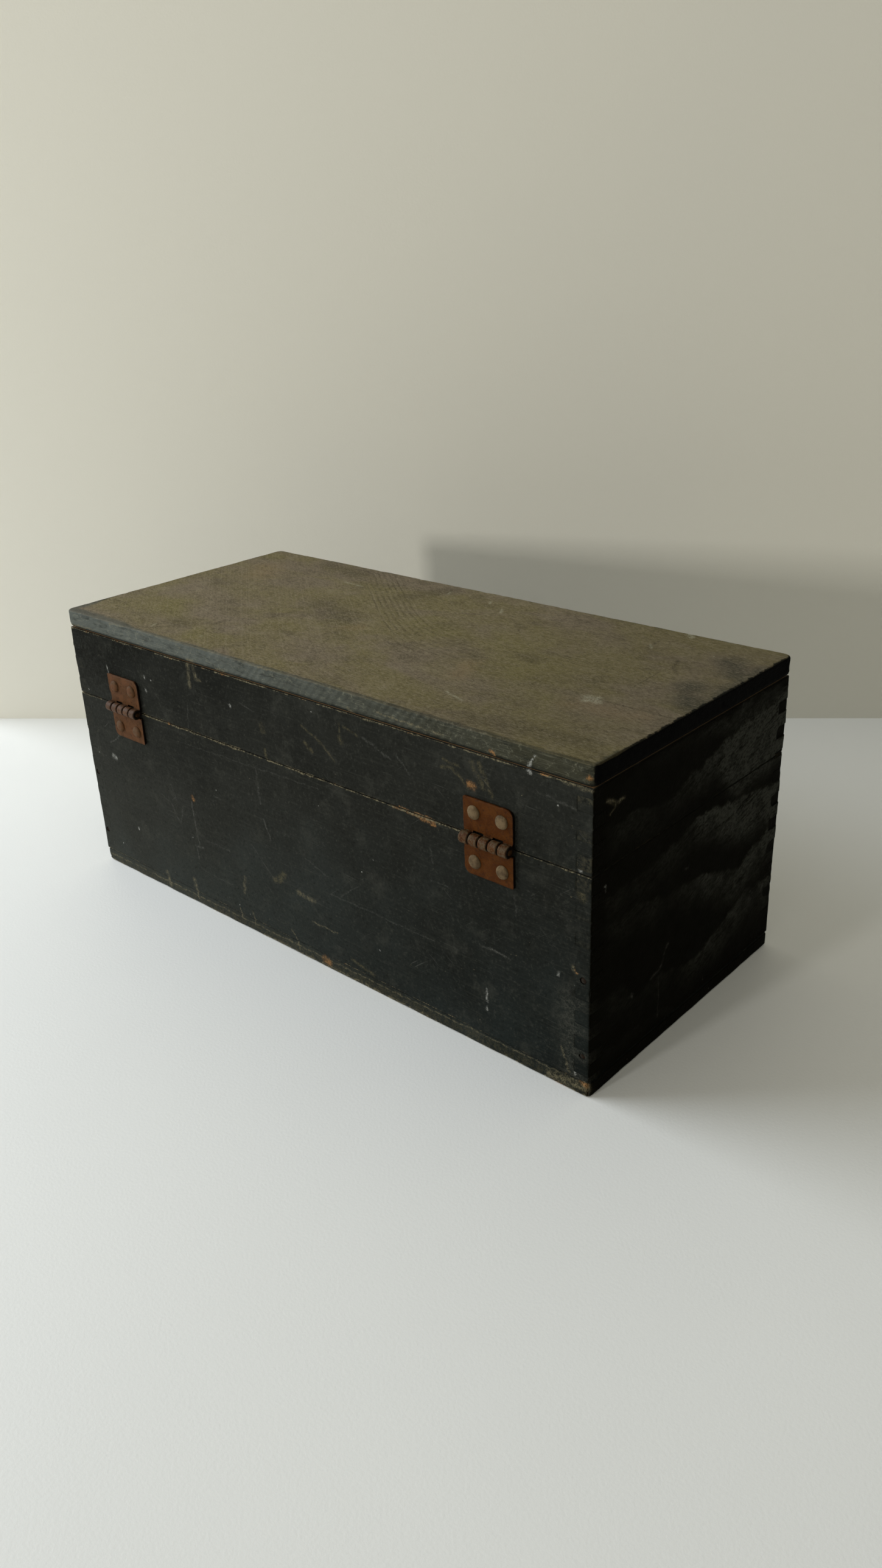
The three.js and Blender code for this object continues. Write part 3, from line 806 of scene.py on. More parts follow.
# Painted shadows of the two hinges: a dark stripe beside the edge of each leaf that is turned away from the
# light.
box_back_hinge_shadows = on_back(
    (112.6, 118.5, 112.6, 88.0, 1.8),
    (-133.5, 119.0, -133.5, 90.0, 1.6),
)
box_back_tan = on_back(
    (43.0, 31.0, 45.0, 21.0, 1.4),
    (112.0, 10.0, 111.0, 7.2, 2.2),
    (87.4, 13.6, 86.2, 8.4, 2.6),
    (50.0, 10.0, 49.4, 7.4, 0.9),
    (39.8, 11.0, 39.0, 7.6, 0.9),
    (10.0, 12.0, 6.4, 7.4, 0.8),
    (2.5, 36.4, -2.4, 35.6, 2.3),
    (-4.6, 36.0, -9.4, 35.6, 2.0),
    (-156.0, 20.0, -159.6, 9.0, 1.0),
    (-6.0, 23.0, -24.0, 23.0, 0.8),
    (-161.6, 60.9, -162.4, 59.4, 2.1),
)
box_back_olive = on_back(
    (11.4, 43.4, 15.0, 40.4, 2.6),
    (11.6, 41.2, 19.0, 37.4, 2.4),
    (13.0, 39.0, 17.6, 36.6, 1.6),
    (-33.0, 12.0, -47.0, 9.0, 1.6),
    (-164.5, 98.0, -165.0, 94.0, 3.6),
)
box_back_orange = on_back(
    (79.6, 65.6, 78.4, 63.8, 1.6),
    (-66.0, 103.3, -90.0, 102.8, 1.1),
    (-82.0, 102.2, -90.0, 101.4, 1.3),
    (-162.6, 60.2, -163.2, 58.8, 1.0),
)
box_back_chalk = on_back(
    (147.6, 70.4, 145.4, 69.8, 2.3),
    (134.0, 30.8, 133.8, 30.2, 1.0),
    (-154.2, 55.4, -154.0, 54.0, 1.2),
    (-163.0, 10.6, -163.0, 9.2, 1.1),
    (-116.0, 31.5, -116.6, 25.0, 1.0),
    (-116.0, 22.0, -116.2, 20.6, 0.9),
)
# Nail holes painted black: painted shade in holes that are not modelled.
box_back_holes = on_back(
    (164.8, 47.2, 164.4, 46.8, 1.7),
    (-163.4, 73.4, -163.4, 72.6, 2.0),
    (-161.0, 48.5, -161.0, 47.7, 2.0),
)
box_back_marks = (
    (paint_dusty, 0.7, on_back((-160.0, 44.0, -163.0, 8.0, 13.0))),
    (painted_shade_black, 0.8, box_back_hinge_shadows),
    (scratch_grey, 0.50, box_back_scratches),
    (scratch_grey, 0.28, box_back_faint),
    (tan_wood, 0.65, box_back_tan),
    (olive_rub, 0.60, box_back_olive),
    (fresh_wood, 0.75, box_back_orange),
    (chalk, 0.60, box_back_chalk),
    (painted_shade_black, 1.0, box_back_holes),
)
box_end_marks = (
    (scratch_grey, 0.55, on_end(
        (18.0, 46.7, 23.8, 36.7, 1.3),
        (23.8, 36.7, 30.5, 35.0, 1.2),
        (24.4, 33.0, 24.0, 12.0, 0.8),
        (7.0, 77.6, 4.6, 77.4, 1.0),
        (-14.3, 12.6, -14.7, 11.0, 1.1),
        (45.4, 35.4, 44.6, 34.2, 1.4),
    )),
    (chalk, 0.5, on_end((66.8, 95.4, 66.7, 94.4, 1.8))),
)
# For each board: its finish's name, its long axis, how dusty it is, how much worn end grain shows, how wide
# its corners, upper arris and lower arris are rubbed through, and its marks.
box_paint = {
    "body_back_board": ("painted_box_back", 0, 0.30, 0.0, (0.3, 0.55, 0.35), box_back_marks),
    "body_front_board": ("painted_box_front", 0, 0.35, 0.0, (0.35, 0.45, 0.35), ()),
    "body_left_end": ("painted_box_left", 1, 0.2, 0.55, (0.25, 0.12, 0.2), box_end_marks),
    "body_right_end": ("painted_box_right", 1, 0.09, 0.15, (0.25, 0.12, 0.2), ()),
}


def frame_board(node, low, high, name, along, dusty, patch, wear, marks):
    """One board of the frame that stands from low to high: painted, weathered and put in its node's place."""
    is_end = along == 1

    def worn_board(point):
        return weathered(point, low, high, is_end)

    finish = painted(name, low, high, along, dusty, patch, wear, marks)
    height = grain_band if is_end else None
    board = reworked(node, "worn_" + node, board_cells, board_halvings, arris_strips, worn_board, (), height)
    fitted(board, node, finish)


for node, look in box_paint.items():
    frame_board(node, box_low, box_high, *look)


# The lid's frame: four boards sawn off the glued box, so its joints and its wear run on from those below.
# The saw cut was left rough, and the paint has rubbed away along it, most of all between the hinges.
lid_back_marks = (
    (grime_and_end_shade_black, 0.8, on_back((172.0, 132.0, 140.0, 122.0, 32.0), (130.0, 138.0, 112.0, 138.0, 14.0))),
    # Painted shadows of the two hinges on the lid, beside the edge of each leaf turned away from the light.
    (painted_shade_black, 0.8, on_back((112.6, 119.5, 112.6, 100.0, 1.8), (-133.5, 120.0, -133.5, 100.0, 1.6))),
    (scratch_grey, 0.35, on_back(
        (32.0, 128.0, 22.0, 126.0, 0.7),
        (73.0, 119.0, 74.4, 105.0, 0.6),
        (-148.0, 132.0, -162.0, 130.0, 0.9),
        (-50.0, 131.0, -66.0, 125.0, 0.9),
        (-70.0, 128.0, -77.0, 121.0, 0.8),
    )),
    (olive_rub, 0.55, on_back(
        (-95.0, 129.4, -101.0, 130.6, 1.2),
        (-101.0, 130.6, -106.0, 127.0, 1.3),
        (-106.0, 127.0, -108.6, 123.6, 1.2),
        (-96.0, 133.0, -104.0, 132.4, 1.1),
        (17.2, 120.5, 16.8, 117.5, 2.6),
        (16.0, 108.0, 16.0, 104.5, 1.6),
        (-12.0, 119.5, -14.5, 117.0, 1.6),
        (-14.5, 117.0, -17.0, 116.2, 1.4),
        (-11.0, 127.0, -21.0, 123.0, 0.9),
        (-21.0, 123.0, -31.0, 115.6, 1.1),
        (-36.0, 134.0, -36.0, 128.0, 1.0),
        (-36.0, 127.6, -36.2, 126.0, 2.4),
        (-39.0, 133.0, -47.0, 131.0, 1.1),
        (-111.0, 135.5, -117.0, 126.0, 2.0),
        (-115.0, 136.0, -121.5, 123.5, 1.8),
    )),
    (tan_wood, 0.62, on_back(
        (68.6, 141.0, 69.0, 128.6, 2.3),
        (65.0, 141.0, 63.4, 133.6, 1.9),
        (63.4, 133.4, 60.0, 133.0, 1.0),
        (-156.0, 139.9, -169.0, 139.5, 1.3),
    )),
    (fresh_wood, 0.8, on_back(
        (-110.0, 125.7, -112.0, 125.2, 2.4),
        (-70.0, 103.9, -88.0, 104.1, 0.8),
    )),
    (chalk, 0.6, on_back(
        (140.4, 124.4, 139.2, 120.6, 0.8),
        (107.0, 125.4, 107.2, 124.6, 0.9),
        (107.6, 118.0, 107.4, 117.0, 1.0),
        (38.9, 125.2, 38.7, 124.6, 1.2),
        (-139.6, 140.0, -140.4, 138.8, 1.4),
        (-163.6, 105.6, -164.2, 104.8, 1.5),
    )),
)
lid_end_marks = (
    (tan_wood, 0.9, on_end(
        (66.3, 132.8, 61.3, 129.4, 1.8),
        (61.3, 129.4, 55.0, 129.9, 1.4),
        (60.5, 129.0, 64.8, 126.2, 0.8),
    )),
)
lid_paint = {
    "lid_back_board": ("painted_lid_back", 0, 0.34, 0.0, (0.3, 0.45, 0.30), lid_back_marks),
    "lid_front_board": ("painted_lid_front", 0, 0.35, 0.0, (0.35, 0.45, 0.4), ()),
    "lid_left_end": ("painted_lid_left", 1, 0.2, 0.75, (0.25, 0.12, 0.1), lid_end_marks),
    "lid_right_end": ("painted_lid_right", 1, 0.09, 0.2, (0.25, 0.12, 0.1), ()),
}
for node, look in lid_paint.items():
    frame_board(node, lid_low, lid_high, *look)


# The lid's top: one flat board with rounded edges, glued on the frame. Its paint has faded to olive brown and
# shows the growth rings. The edges keep a blue-grey coat that laps a little onto the top, with the chatter of
# the spokeshave that rounded them.
top_half_length = 170.5
top_half_depth = 76.0
top_low = 140.5
top_high = 150.0
top_cells = (5.0, 8.0, 5.0)
top_corner = 4.0
top_round = 2.5
top_crisp = 1.15
top_crisp_change = 0.4
top_crisp_size = 13.0
top_nick_size = 3.6
top_nick_from = 0.3
top_nick_depth = 1.2
top_nick_in = 0.4
shave_length = 4.7
shave_slant = 0.9
shave_waver = 1.6
shave_waver_size = 12.0
shave_depth = 0.16
shave_change_size = 23.0
chatter_depth = 0.34
chatter_middle = -84.0
chatter_reach = 30.0
top_waves = 0.22
top_wave_size = 44.0


def from_outline(x, y):
    """How far a place is from the top board's outline, and the way out to it. x and y are from the middle."""
    past_x, past_y = x - (top_half_length - top_corner), y - (top_half_depth - top_corner)
    if past_x > 0 and past_y > 0:
        away = math.hypot(past_x, past_y)
        return top_corner - away, past_x / away, past_y / away
    if top_half_length - x < top_half_depth - y:
        return top_half_length - x, 1.0, 0.0
    return top_half_depth - y, 0.0, 1.0


def shave_marks(point, z, run):
    """How deep the shave marks are: ripples along an edge, and deeper ones on the back where it chattered."""
    chatter = 0.0
    if point.y > 0:
        chatter = chatter_depth * max(0.0, 1 - abs(point.x - chatter_middle) / chatter_reach)
    place = run + shave_slant * z + shave_waver * rough(point, shave_waver_size)
    wave = math.sin(math.tau * place / shave_length)
    return (shave_depth * (0.5 + rough(point, shave_change_size)) + chatter) * (0.5 + 0.5 * wave)


def worn_top(point):
    """A point of the top board: crisp upper arrises, shaved edges, nicks and a wavy face."""
    x, y, z = abs(point.x), abs(point.y), point.z
    nick = nicked(point, top_nick_size, top_nick_from, top_nick_depth)
    inside, out_x, out_y = from_outline(x, y)
    over, rise = top_round - inside, z - (top_high - top_round)
    if over > 0 and rise > 0:
        square = top_round / max(over, rise)
        crisp = top_crisp + top_crisp_change * rough(point, top_crisp_size) + nick
        moved, rise = rounded(over * square, rise * square, top_round, top_round, crisp)
        x, y, z = x + out_x * (moved - over), y + out_y * (moved - over), top_high - top_round + rise
        inside += over - moved
    run = point.y if out_x > out_y else point.x
    depth = shave_marks(point, z, run) + nick * top_nick_in
    pressed = skin_share(max(0.0, inside)) * max(0.0, depth)
    z -= skin_share(top_high - z) * top_waves * swell(point, top_wave_size)
    return in_its_quarter(point, x - out_x * pressed, y - out_y * pressed, z)


top_brown = (0.146, 0.117, 0.080, 1)
top_olive = (0.143, 0.120, 0.056, 1)
top_pale = (0.243, 0.206, 0.140, 1)
top_dark = (0.050, 0.042, 0.026, 1)
top_green = (0.143, 0.124, 0.045, 1)
top_tan = (0.200, 0.140, 0.075, 1)
top_slate = (0.030, 0.032, 0.026, 1)
top_scuff = (0.33, 0.32, 0.23, 1)
band_light = (0.070, 0.076, 0.067, 1)
band_olive = (0.030, 0.029, 0.019, 1)
band_dark = (0.008, 0.009, 0.008, 1)
top_shine = 0.008
ring_lean = 0.425
ring_start = 12.0
ring_bend = 28.0
ring_level = 20.0
ring_waves = 1.7
ring_middle = 20.0
ring_waver = 1.6
ring_thin = 0.04
ring_full = 0.34
ring_grain = 0.16
ring_first = (-27.0, -20.0)
ring_last = (5.0, 0.5)
ring_fade = (105.0, 25.0)
lap_back = (50.0, 62.0)
lap_fade = (40.0, 66.0)
lap_corner_at = (112.0, 128.0)
lap_width = 1.3
lap_widest = 2.4
lap_corner = 2.2
lap_ragged = 2.2
lap_finer = 0.8
lap_edge = 0.45
lap_cover = 0.92
lap_back_cover = 0.72
lap_back_strip = (52.0, 60.0)
shade_under_arris_high = 2.6
shade_under_arris_low = 0.9
olive_run = (60.0, -150.0)
olive_waver = 0.35
top_rim = 0.25
top_smooth = 0.45
top_matt = 0.75
glued_matt = 0.2
top_rim_cover = 0.7
top_rim_on_end = 0.07
top_specks = 0.5
cloud_thin = 0.45
ripple_waver = 4.8
ripple_right = (90.0, 10.0)
ripple_left = (-125.0, -95.0)
end_edge = (1.8, 0.8)
looks_down = (-0.6, -0.85)
glued_inside = (2.0, 3.0)


def on_top(*places):
    """Marks on the top of the lid, each (x, y, x, y, width) in mm."""
    return [((x1, y1, top_high), (x2, y2, top_high), wide) for x1, y1, x2, y2, wide in places]


def band_out(z):
    """How far out the top board's back edge stands at a height, its arrises being round."""
    over, under = z - (top_high - top_crisp), top_low + top_round - z
    if over > 0:
        return top_half_depth - top_crisp + math.sqrt(max(0.0, top_crisp ** 2 - over ** 2))
    return top_half_depth - top_round + math.sqrt(top_round ** 2 - max(0.0, under) ** 2)


def on_band(*places):
    """Marks on the top board's back edge, each (x, z, x, z, width) in mm."""
    return [((x1, band_out(z1), z1), (x2, band_out(z2), z2), wide) for x1, z1, x2, z2, wide in places]


top_clouds = (
    (top_green, 0.70, on_top(
        (128.0, 30.0, 122.0, 42.0, 18.0),
        (80.0, 56.0, 77.0, 64.0, 12.0),
        (-55.0, -14.0, -90.0, 14.0, 30.0),
        (-90.0, 14.0, -112.0, 34.0, 28.0),
        (-4.0, -18.0, -24.0, -12.0, 18.0),
    )),
    (top_tan, 0.50, on_top(
        (18.0, 8.0, 24.0, 12.0, 8.0),
        (-62.0, 16.0, -68.0, 32.0, 9.0),
        (-128.0, 30.0, -156.0, 26.0, 12.0),
        (136.0, -30.0, 146.0, -44.0, 18.0),
    )),
    (top_dark, 0.62, on_top(
        (64.0, -10.0, 34.0, 2.0, 18.0),
        (102.0, 54.0, 97.0, 55.0, 10.0),
        (24.0, -66.0, 34.0, -46.0, 13.0),
        (-104.0, 66.0, -154.0, 60.0, 11.0),
        (-74.0, -6.0, -82.0, -4.0, 8.0),
        (118.0, -68.0, 88.0, -62.0, 13.0),
        (148.0, -8.0, 140.0, -4.0, 9.0),
    )),
    (top_slate, 0.92, on_top(
        (-154.0, -50.0, -164.0, -38.0, 13.0),
        (-156.0, -14.0, -166.0, 4.0, 14.0),
        (-169.0, -50.0, -170.0, 8.0, 9.0),
    )),
)
top_lines = (
    (top_dark, 0.75, on_top(
        (-112.0, -57.0, -114.0, -46.0, 1.7),
        (-134.0, -39.0, -137.0, -31.0, 2.0),
        (-137.0, -31.0, -142.0, -25.0, 1.5),
        (-135.0, -22.0, -136.0, 2.0, 0.9),
        (-126.0, 20.0, -170.0, 20.0, 1.2),
        (83.0, 40.0, 82.0, 46.0, 2.2),
        (128.0, 66.0, 122.0, 68.0, 1.2),
    )),
    (top_scuff, 0.6, on_top(
        (-127.0, 20.0, -134.0, 22.4, 4.0),
        (-129.0, 24.4, -131.6, 18.4, 3.0),
        (84.0, -47.0, 70.0, -46.0, 1.5),
        (-21.0, -56.0, -24.0, -51.0, 1.3),
        (-7.0, -64.0, -9.4, -60.0, 1.3),
        (22.0, -65.0, 20.0, -61.0, 1.2),
        (-118.0, -75.0, -122.0, -71.0, 2.2),
        (-112.0, -52.0, -114.6, -47.4, 1.0),
        (107.6, 64.0, 106.4, 66.4, 1.3),
        (72.4, 62.0, 71.6, 63.4, 1.3),
        (-76.0, 50.0, -88.0, 54.0, 1.2),
    )),
)
band_marks = (
    (tan_wood, 0.75, on_band(
        (171.0, 142.2, 148.0, 142.6, 0.9),
        (-60.0, 144.9, -97.0, 143.9, 0.8),
        (68.0, 142.2, 63.0, 142.4, 1.3),
        (46.0, 142.0, 40.0, 142.2, 1.0),
        (-43.0, 143.0, -45.4, 141.6, 1.4),
        (24.0, 149.4, 6.0, 149.5, 0.7),
        (132.0, 149.3, 118.0, 149.5, 0.6),
    )),
    (fresh_wood, 0.7, on_band(
        (-121.4, 143.2, -123.0, 142.6, 1.2),
        (-167.6, 144.6, -171.0, 144.0, 1.5),
    )),
    (chalk, 0.5, on_band(
        (-139.6, 141.6, -141.0, 143.4, 1.3),
        (-141.0, 143.4, -143.0, 147.0, 0.8),
    )),
)


def growth_rings(paint, cloud):
    """The place among the growth rings, which bow across the board, and how much their dark lines show."""
    bowed = paint.plus(paint.x, ring_start)
    reach = paint.math("SQRT", paint.plus(paint.times(bowed, bowed), ring_bend ** 2))
    ring = paint.times(paint.plus(bowed, reach), ring_lean)
    ring = paint.less(paint.plus(ring, paint.y), ring_level)
    ring = paint.plus(ring, paint.spread(cloud, -ring_waver, ring_waver))
    wave = paint.math("SINE", paint.times(ring, ring_waves))
    near = paint.times(paint.step(ring, *ring_first), paint.step(ring, *ring_last))
    fading = paint.step(paint.math("ABSOLUTE", paint.less(paint.x, ring_middle)), *ring_fade)
    near = paint.times(near, fading)
    patchy = paint.step(paint.noise(17.0, detail=3.0), 0.40, 0.60)
    lines = paint.times(paint.step(wave, -0.3, 1.0), paint.spread(patchy, 0.4, 1.0))
    return ring, paint.times(lines, paint.spread(near, ring_thin, ring_full))


def edge_coat(paint, cloud, speck, mottle, on_end_edge):
    """The edges' blue-grey coat: olive towards one end, mottled, rippled by the shave, and dark low down,
    which is painted shade under the round lower arris. The end edges are painted black, as painted shade.
    """
    fibre = paint.noise(0.5, (22.0, 1.0, 1.0), detail=2.0)
    olive = paint.plus(paint.step(paint.x, *olive_run), paint.spread(cloud, -olive_waver, olive_waver))
    coat = paint.layered(
        paint.mix(paint.kept(olive), band_light, band_olive),
        (mottle, 0.52, 0.28, 0.62, band_dark),
        (fibre, 0.50, 0.75, 0.12, top_scuff),
        (speck, 0.52, 0.74, 0.24, top_scuff),
    )
    ripple = paint.plus(paint.x, paint.times(paint.z, shave_slant))
    ripple = paint.plus(ripple, paint.spread(cloud, -ripple_waver, ripple_waver))
    ripple = paint.math("SINE", paint.times(ripple, math.tau / shave_length))
    chattered = paint.times(paint.step(paint.x, *ripple_right), paint.step(paint.x, *ripple_left))
    coat = paint.layered(
        coat,
        (ripple, -0.5, 0.9, paint.times(chattered, 0.20), band_dark),
        # Painted shade under the round lower arris.
        (paint.z, top_low + shade_under_arris_high, top_low + shade_under_arris_low, 0.80, band_dark),
    )
    # Painted shade: the end edges are black.
    return paint.mix(on_end_edge, coat, painted_shade_black)


def lapped_over(paint, inward, mottle, ragged):
    """Where the coat of the edges laps onto the top: ragged, and wider at the back and towards one corner."""
    lap = paint.times(paint.step(paint.x, *lap_corner_at), lap_corner)
    lap = paint.times(paint.plus(paint.step(paint.y, *lap_back), lap), paint.step(paint.y, *lap_fade))
    lap = paint.spread(lap, lap_width, lap_width * lap_widest)
    inner = paint.plus(inward, paint.spread(mottle, -lap_ragged, lap_ragged))
    inner = paint.plus(inner, paint.spread(ragged, -lap_finer, lap_finer))
    return paint.step(inner, lap, paint.times(lap, lap_edge))


def top_finish():
    """The top board's old paint: faded above, blue-grey round the edges, and bare where it is glued."""
    paint = Finish("faded_top")
    rises = paint.add("ShaderNodeSeparateXYZ", {"Vector": paint.normal}, out="Z")
    end, inward, _, upper, _ = from_arrises(paint, top_half_length, top_half_depth, top_low, top_high)
    bare_colour, bare_height = bare_boards(paint, (fibre_stretch, 1, 1))

    broad = paint.noise(42.0, (1.6, 1, 1), detail=5.0, roughness=0.6, bend=0.5)
    cloud = paint.noise(12.0, (1.5, 1, 1), detail=5.0, roughness=0.65)
    speck = paint.noise(2.1, (1.5, 1, 1), (0, 0, 30), detail=4.0, roughness=0.85)
    weave = paint.noise(0.55, (3.0, 1, 1), detail=2.0, roughness=0.7)
    colour = paint.layered(
        top_brown,
        (broad, 0.38, 0.62, 1.0, top_olive),
        (cloud, 0.50, 0.28, 0.50, top_dark),
        (cloud, 0.52, 0.76, 0.34, top_pale),
    )
    shaky = paint.shaken(9.0, 7.0, 3.2, (1, 1, 0))
    clouded = paint.spread(paint.step(cloud, 0.30, 0.66), cloud_thin, 1.0)
    colour = marked(paint, colour, shaky, clouded, top_clouds)

    ring, lines = growth_rings(paint, cloud)
    colour = paint.mix(lines, colour, top_dark)
    along_ring = {"W": paint.times(ring, ring_grain), "Detail": 3.0}
    soft = paint.add("ShaderNodeTexNoise", along_ring, noise_dimensions="1D")
    colour = paint.layered(
        colour,
        (soft, 0.50, 0.70, 0.20, top_pale),
        (weave, 0.48, 0.66, 0.46, top_pale),
        (weave, 0.48, 0.30, 0.46, top_dark),
        (speck, 0.50, 0.28, 0.55, top_dark),
        (speck, 0.52, 0.74, 0.46, top_pale),
        (paint.x, 20.0, -165.0, 0.27, top_dark),
    )
    fine = paint.shaken(4.0, 2.2, 1.1)
    broken = paint.step(paint.noise(0.9, detail=4.0, roughness=0.75), 0.38, 0.58)
    colour = marked(paint, colour, fine, broken, top_lines)
    pale = paint.specks(fine, 11.0, 0.9, 0.3)
    colour = paint.mix(paint.times(pale, top_specks), colour, top_scuff)

    mottle = paint.noise(2.6, (4.0, 1.0, 1.0), detail=5.0, roughness=0.7)
    on_end_edge = paint.most(paint.facing("X"), paint.step(end, *end_edge))
    coat = edge_coat(paint, cloud, speck, mottle, on_end_edge)
    ragged = paint.noise(1.6, (2.0, 2.0, 1), detail=5.0, roughness=0.75)
    lapped = lapped_over(paint, inward, mottle, ragged)
    at_back = paint.step(paint.y, *lap_back_strip)
    lap_colour = paint.mix(at_back, band_dark, coat)
    lapped = paint.times(lapped, paint.spread(at_back, lap_cover, lap_back_cover))
    colour = paint.mix(lapped, colour, lap_colour)
    colour = paint.mix(paint.step(rises, facing_from, facing_full), coat, colour)

    colour = marked(paint, colour, fine, broken, band_marks)
    rim = worn_line(paint, upper, top_rim, ragged)
    crumbs = paint.step(paint.noise(0.8, detail=4.0, roughness=0.8), 0.45, 0.58)
    rim = paint.times(rim, crumbs, paint.spread(on_end_edge, top_rim_cover, top_rim_on_end))
    colour = paint.mix(rim, colour, tan_wood)

    beneath = paint.times(paint.step(rises, *looks_down), paint.step(inward, *glued_inside))
    colour = paint.mix(beneath, colour, bare_colour)
    gloss = paint.spread(speck, top_smooth, top_matt)
    gloss = paint.kept(paint.plus(gloss, paint.times(beneath, glued_matt)))
    relief = paint.relief(
        (weave, 0.12),
        (speck, 0.22),
        (paint.other(lines), 0.25),
        (mottle, 0.35),
        (paint.times(bare_height, beneath), 0.30),
    )
    return paint.surface(colour, gloss, relief, top_shine)


top = reworked("top_board", "worn_top_board", top_cells, board_halvings, arris_strips, worn_top)
fitted(top, "top_board", top_finish())


# The bottom: a thin board nailed on under the walls. It is painted with them, and its lower arris, which has
# been dragged over tables, is worn to the wood all round. One end has lost its sharp arris altogether.
bottom_low = 0.0
bottom_cells = (7.0, 9.0, 5.0)
bottom_corner = 2.0
bottom_wear = 0.8
bottom_wear_change = 0.5
bottom_wear_size = 10.0
bottom_end_wear = 3.0
bottom_set_back = 0.12
bottom_wave_size = 9.0


def worn_bottom(point):
    """A point of the bottom board, moved by wear: round corners, a dragged lower arris and uneven edges."""
    x, y = abs(point.x), abs(point.y)
    nick = nicked(point, nick_size, nick_from, nick_depth)
    x, y = rounded(x, y, box_half_length, box_half_depth, bottom_corner + nick)
    wear = bottom_wear + bottom_wear_change * rough(point, bottom_wear_size) + nick / 2
    y, down = rounded(y, -point.z, box_half_depth, -bottom_low, wear)
    if point.x > 0:
        wear += bottom_end_wear
    x, down = rounded(x, down, box_half_length, -bottom_low, wear)
    uneven = max(0.0, bottom_set_back + face_waves * rough(point, bottom_wave_size))
    end = skin_share(box_half_length - x) * uneven
    side = skin_share(box_half_depth - y) * uneven
    return in_its_quarter(point, x - end, y - side, -down)


bottom_marks = (
    (olive_rub, 0.30, on_back((172.0, 2.2, -172.0, 2.8, 5.4))),
    (tan_wood, 0.65, on_back((170.0, 4.2, -60.0, 5.2, 0.7), (-60.0, 5.4, -170.0, 6.4, 0.7))),
    (tan_wood, 0.75, on_back(
        (111.2, 7.0, 110.5, 1.2, 2.0),
        (86.2, 7.0, 85.6, 4.0, 1.6),
        (49.4, 7.0, 49.0, 4.4, 1.0),
        (39.0, 7.0, 38.8, 5.0, 0.9),
        (6.2, 7.0, 4.8, 2.8, 1.0),
        (-150.0, 3.0, -170.0, 4.6, 3.4),
        (30.0, 1.2, -80.0, 1.2, 0.9),
    )),
    (fresh_wood, 0.9, on_back((-13.2, 4.4, -15.8, 3.6, 3.4), (-166.0, 6.6, -170.0, 5.2, 2.0))),
)
bottom_wear_lines = (0.5, 0.0, 0.9)
bottom_paint = painted("painted_bottom", bottom_low, box_high, 0, 0.35, 0.0, bottom_wear_lines, bottom_marks)
worn = reworked("bottom_board", "worn_bottom_board", bottom_cells, board_halvings, arris_strips, worn_bottom)
fitted(worn, "bottom_board", bottom_paint)


# The two butt hinges: stamped sheet steel, each leaf rolled into knuckles round a wire pin. They are rusted
# brown all over. One has been rubbed, so that its knuckles and its nails show a greyer metal.
leaf_cell = 1.6
leaf_cells = (leaf_cell,) * 3
leaf_halvings = 1
hinge_line = Vector((0.0, 78.5, 103.5))
hinge_middles = {"left_hinge": -120.0, "right_hinge": 126.1}
knuckle_length = 5.08
knuckle_gap = 0.3
knuckle_ends = (-2.5, -1.5, -0.5, 0.5, 1.5, 2.5)
knuckle_round = 0.5
knuckle_round_reach = 0.8
knuckle_cuts = (0.35, 0.65, 1.0)
barrel_radius = 2.75
barrel_shell = (0.92, 1.05)
dent = 0.09
dent_size = 1.6
edge_bite = 0.14
bite_size = 2.1
bite_apart = Vector((50, 0, 0))
edge_gap_low = 105.8
edge_gap_high = 111.6
edge_gap_depth = 1.0
edge_gap_slope = 1.4


def knuckle_places(middle):
    """The ends of a hinge's five knuckles along x."""
    return [middle + knuckle_length * end for end in knuckle_ends]


def nibbled(point, depth):
    """A point of thin sheet steel, moved so that its edges are uneven."""
    moved = Vector(point)
    moved.x += depth * rough(point, bite_size)
    moved.z += depth * rough(point + bite_apart, bite_size)
    return moved


def worn_steel(point, middle, bitten):
    """Sheet steel with shallow dents and nibbled edges. Its knuckles are true rounds with softened ends.

    bitten is the way along x to an edge that has lost a piece just above the barrel, or 0.
    """
    out = Vector((0.0, point.y - hinge_line.y, point.z - hinge_line.z))
    if barrel_shell[0] * barrel_radius < out.length < barrel_shell[1] * barrel_radius:
        nearest = min(abs(point.x - place) for place in knuckle_places(middle)) - knuckle_gap / 2
        soft = knuckle_round * max(0.0, 1 - max(0.0, nearest) / knuckle_round_reach) ** 2
        true = out.normalized() * (barrel_radius - soft - dent * swell(point, dent_size))
        return Vector((point.x, hinge_line.y + true.y, hinge_line.z + true.z))
    moved = nibbled(point, edge_bite)
    near_edge = (point.x - middle) * bitten - knuckle_length * knuckle_ends[-1] + leaf_cell
    if near_edge > 0 and edge_gap_low < point.z < edge_gap_high:
        into = min(point.z - edge_gap_low, edge_gap_high - point.z)
        moved.x -= bitten * edge_gap_depth * eased(into / edge_gap_slope) * near_edge / leaf_cell
    return moved


rust_brown = (0.056, 0.0240, 0.0082, 1)
rust_red = (0.078, 0.0320, 0.0120, 1)
rust_orange = (0.043, 0.0120, 0.0010, 1)
rust_tawny = (0.060, 0.0190, 0.0022, 1)
rust_dark = (0.010, 0.005, 0.0025, 1)
barrel_brown = (0.050, 0.027, 0.016, 1)
barrel_grey = (0.060, 0.040, 0.021, 1)
# Painted glints on the knuckles of a barrel.
painted_glint_tan = (0.22, 0.170, 0.100, 1)
disc_brown = (0.074, 0.042, 0.021, 1)
disc_grey = (0.124, 0.086, 0.046, 1)
steel_shine = 0.05
steel_smooth = 0.45
steel_matt = 0.85
barrel_polish = 0.22
barrel_inner = 1.03
barrel_outer = 1.2


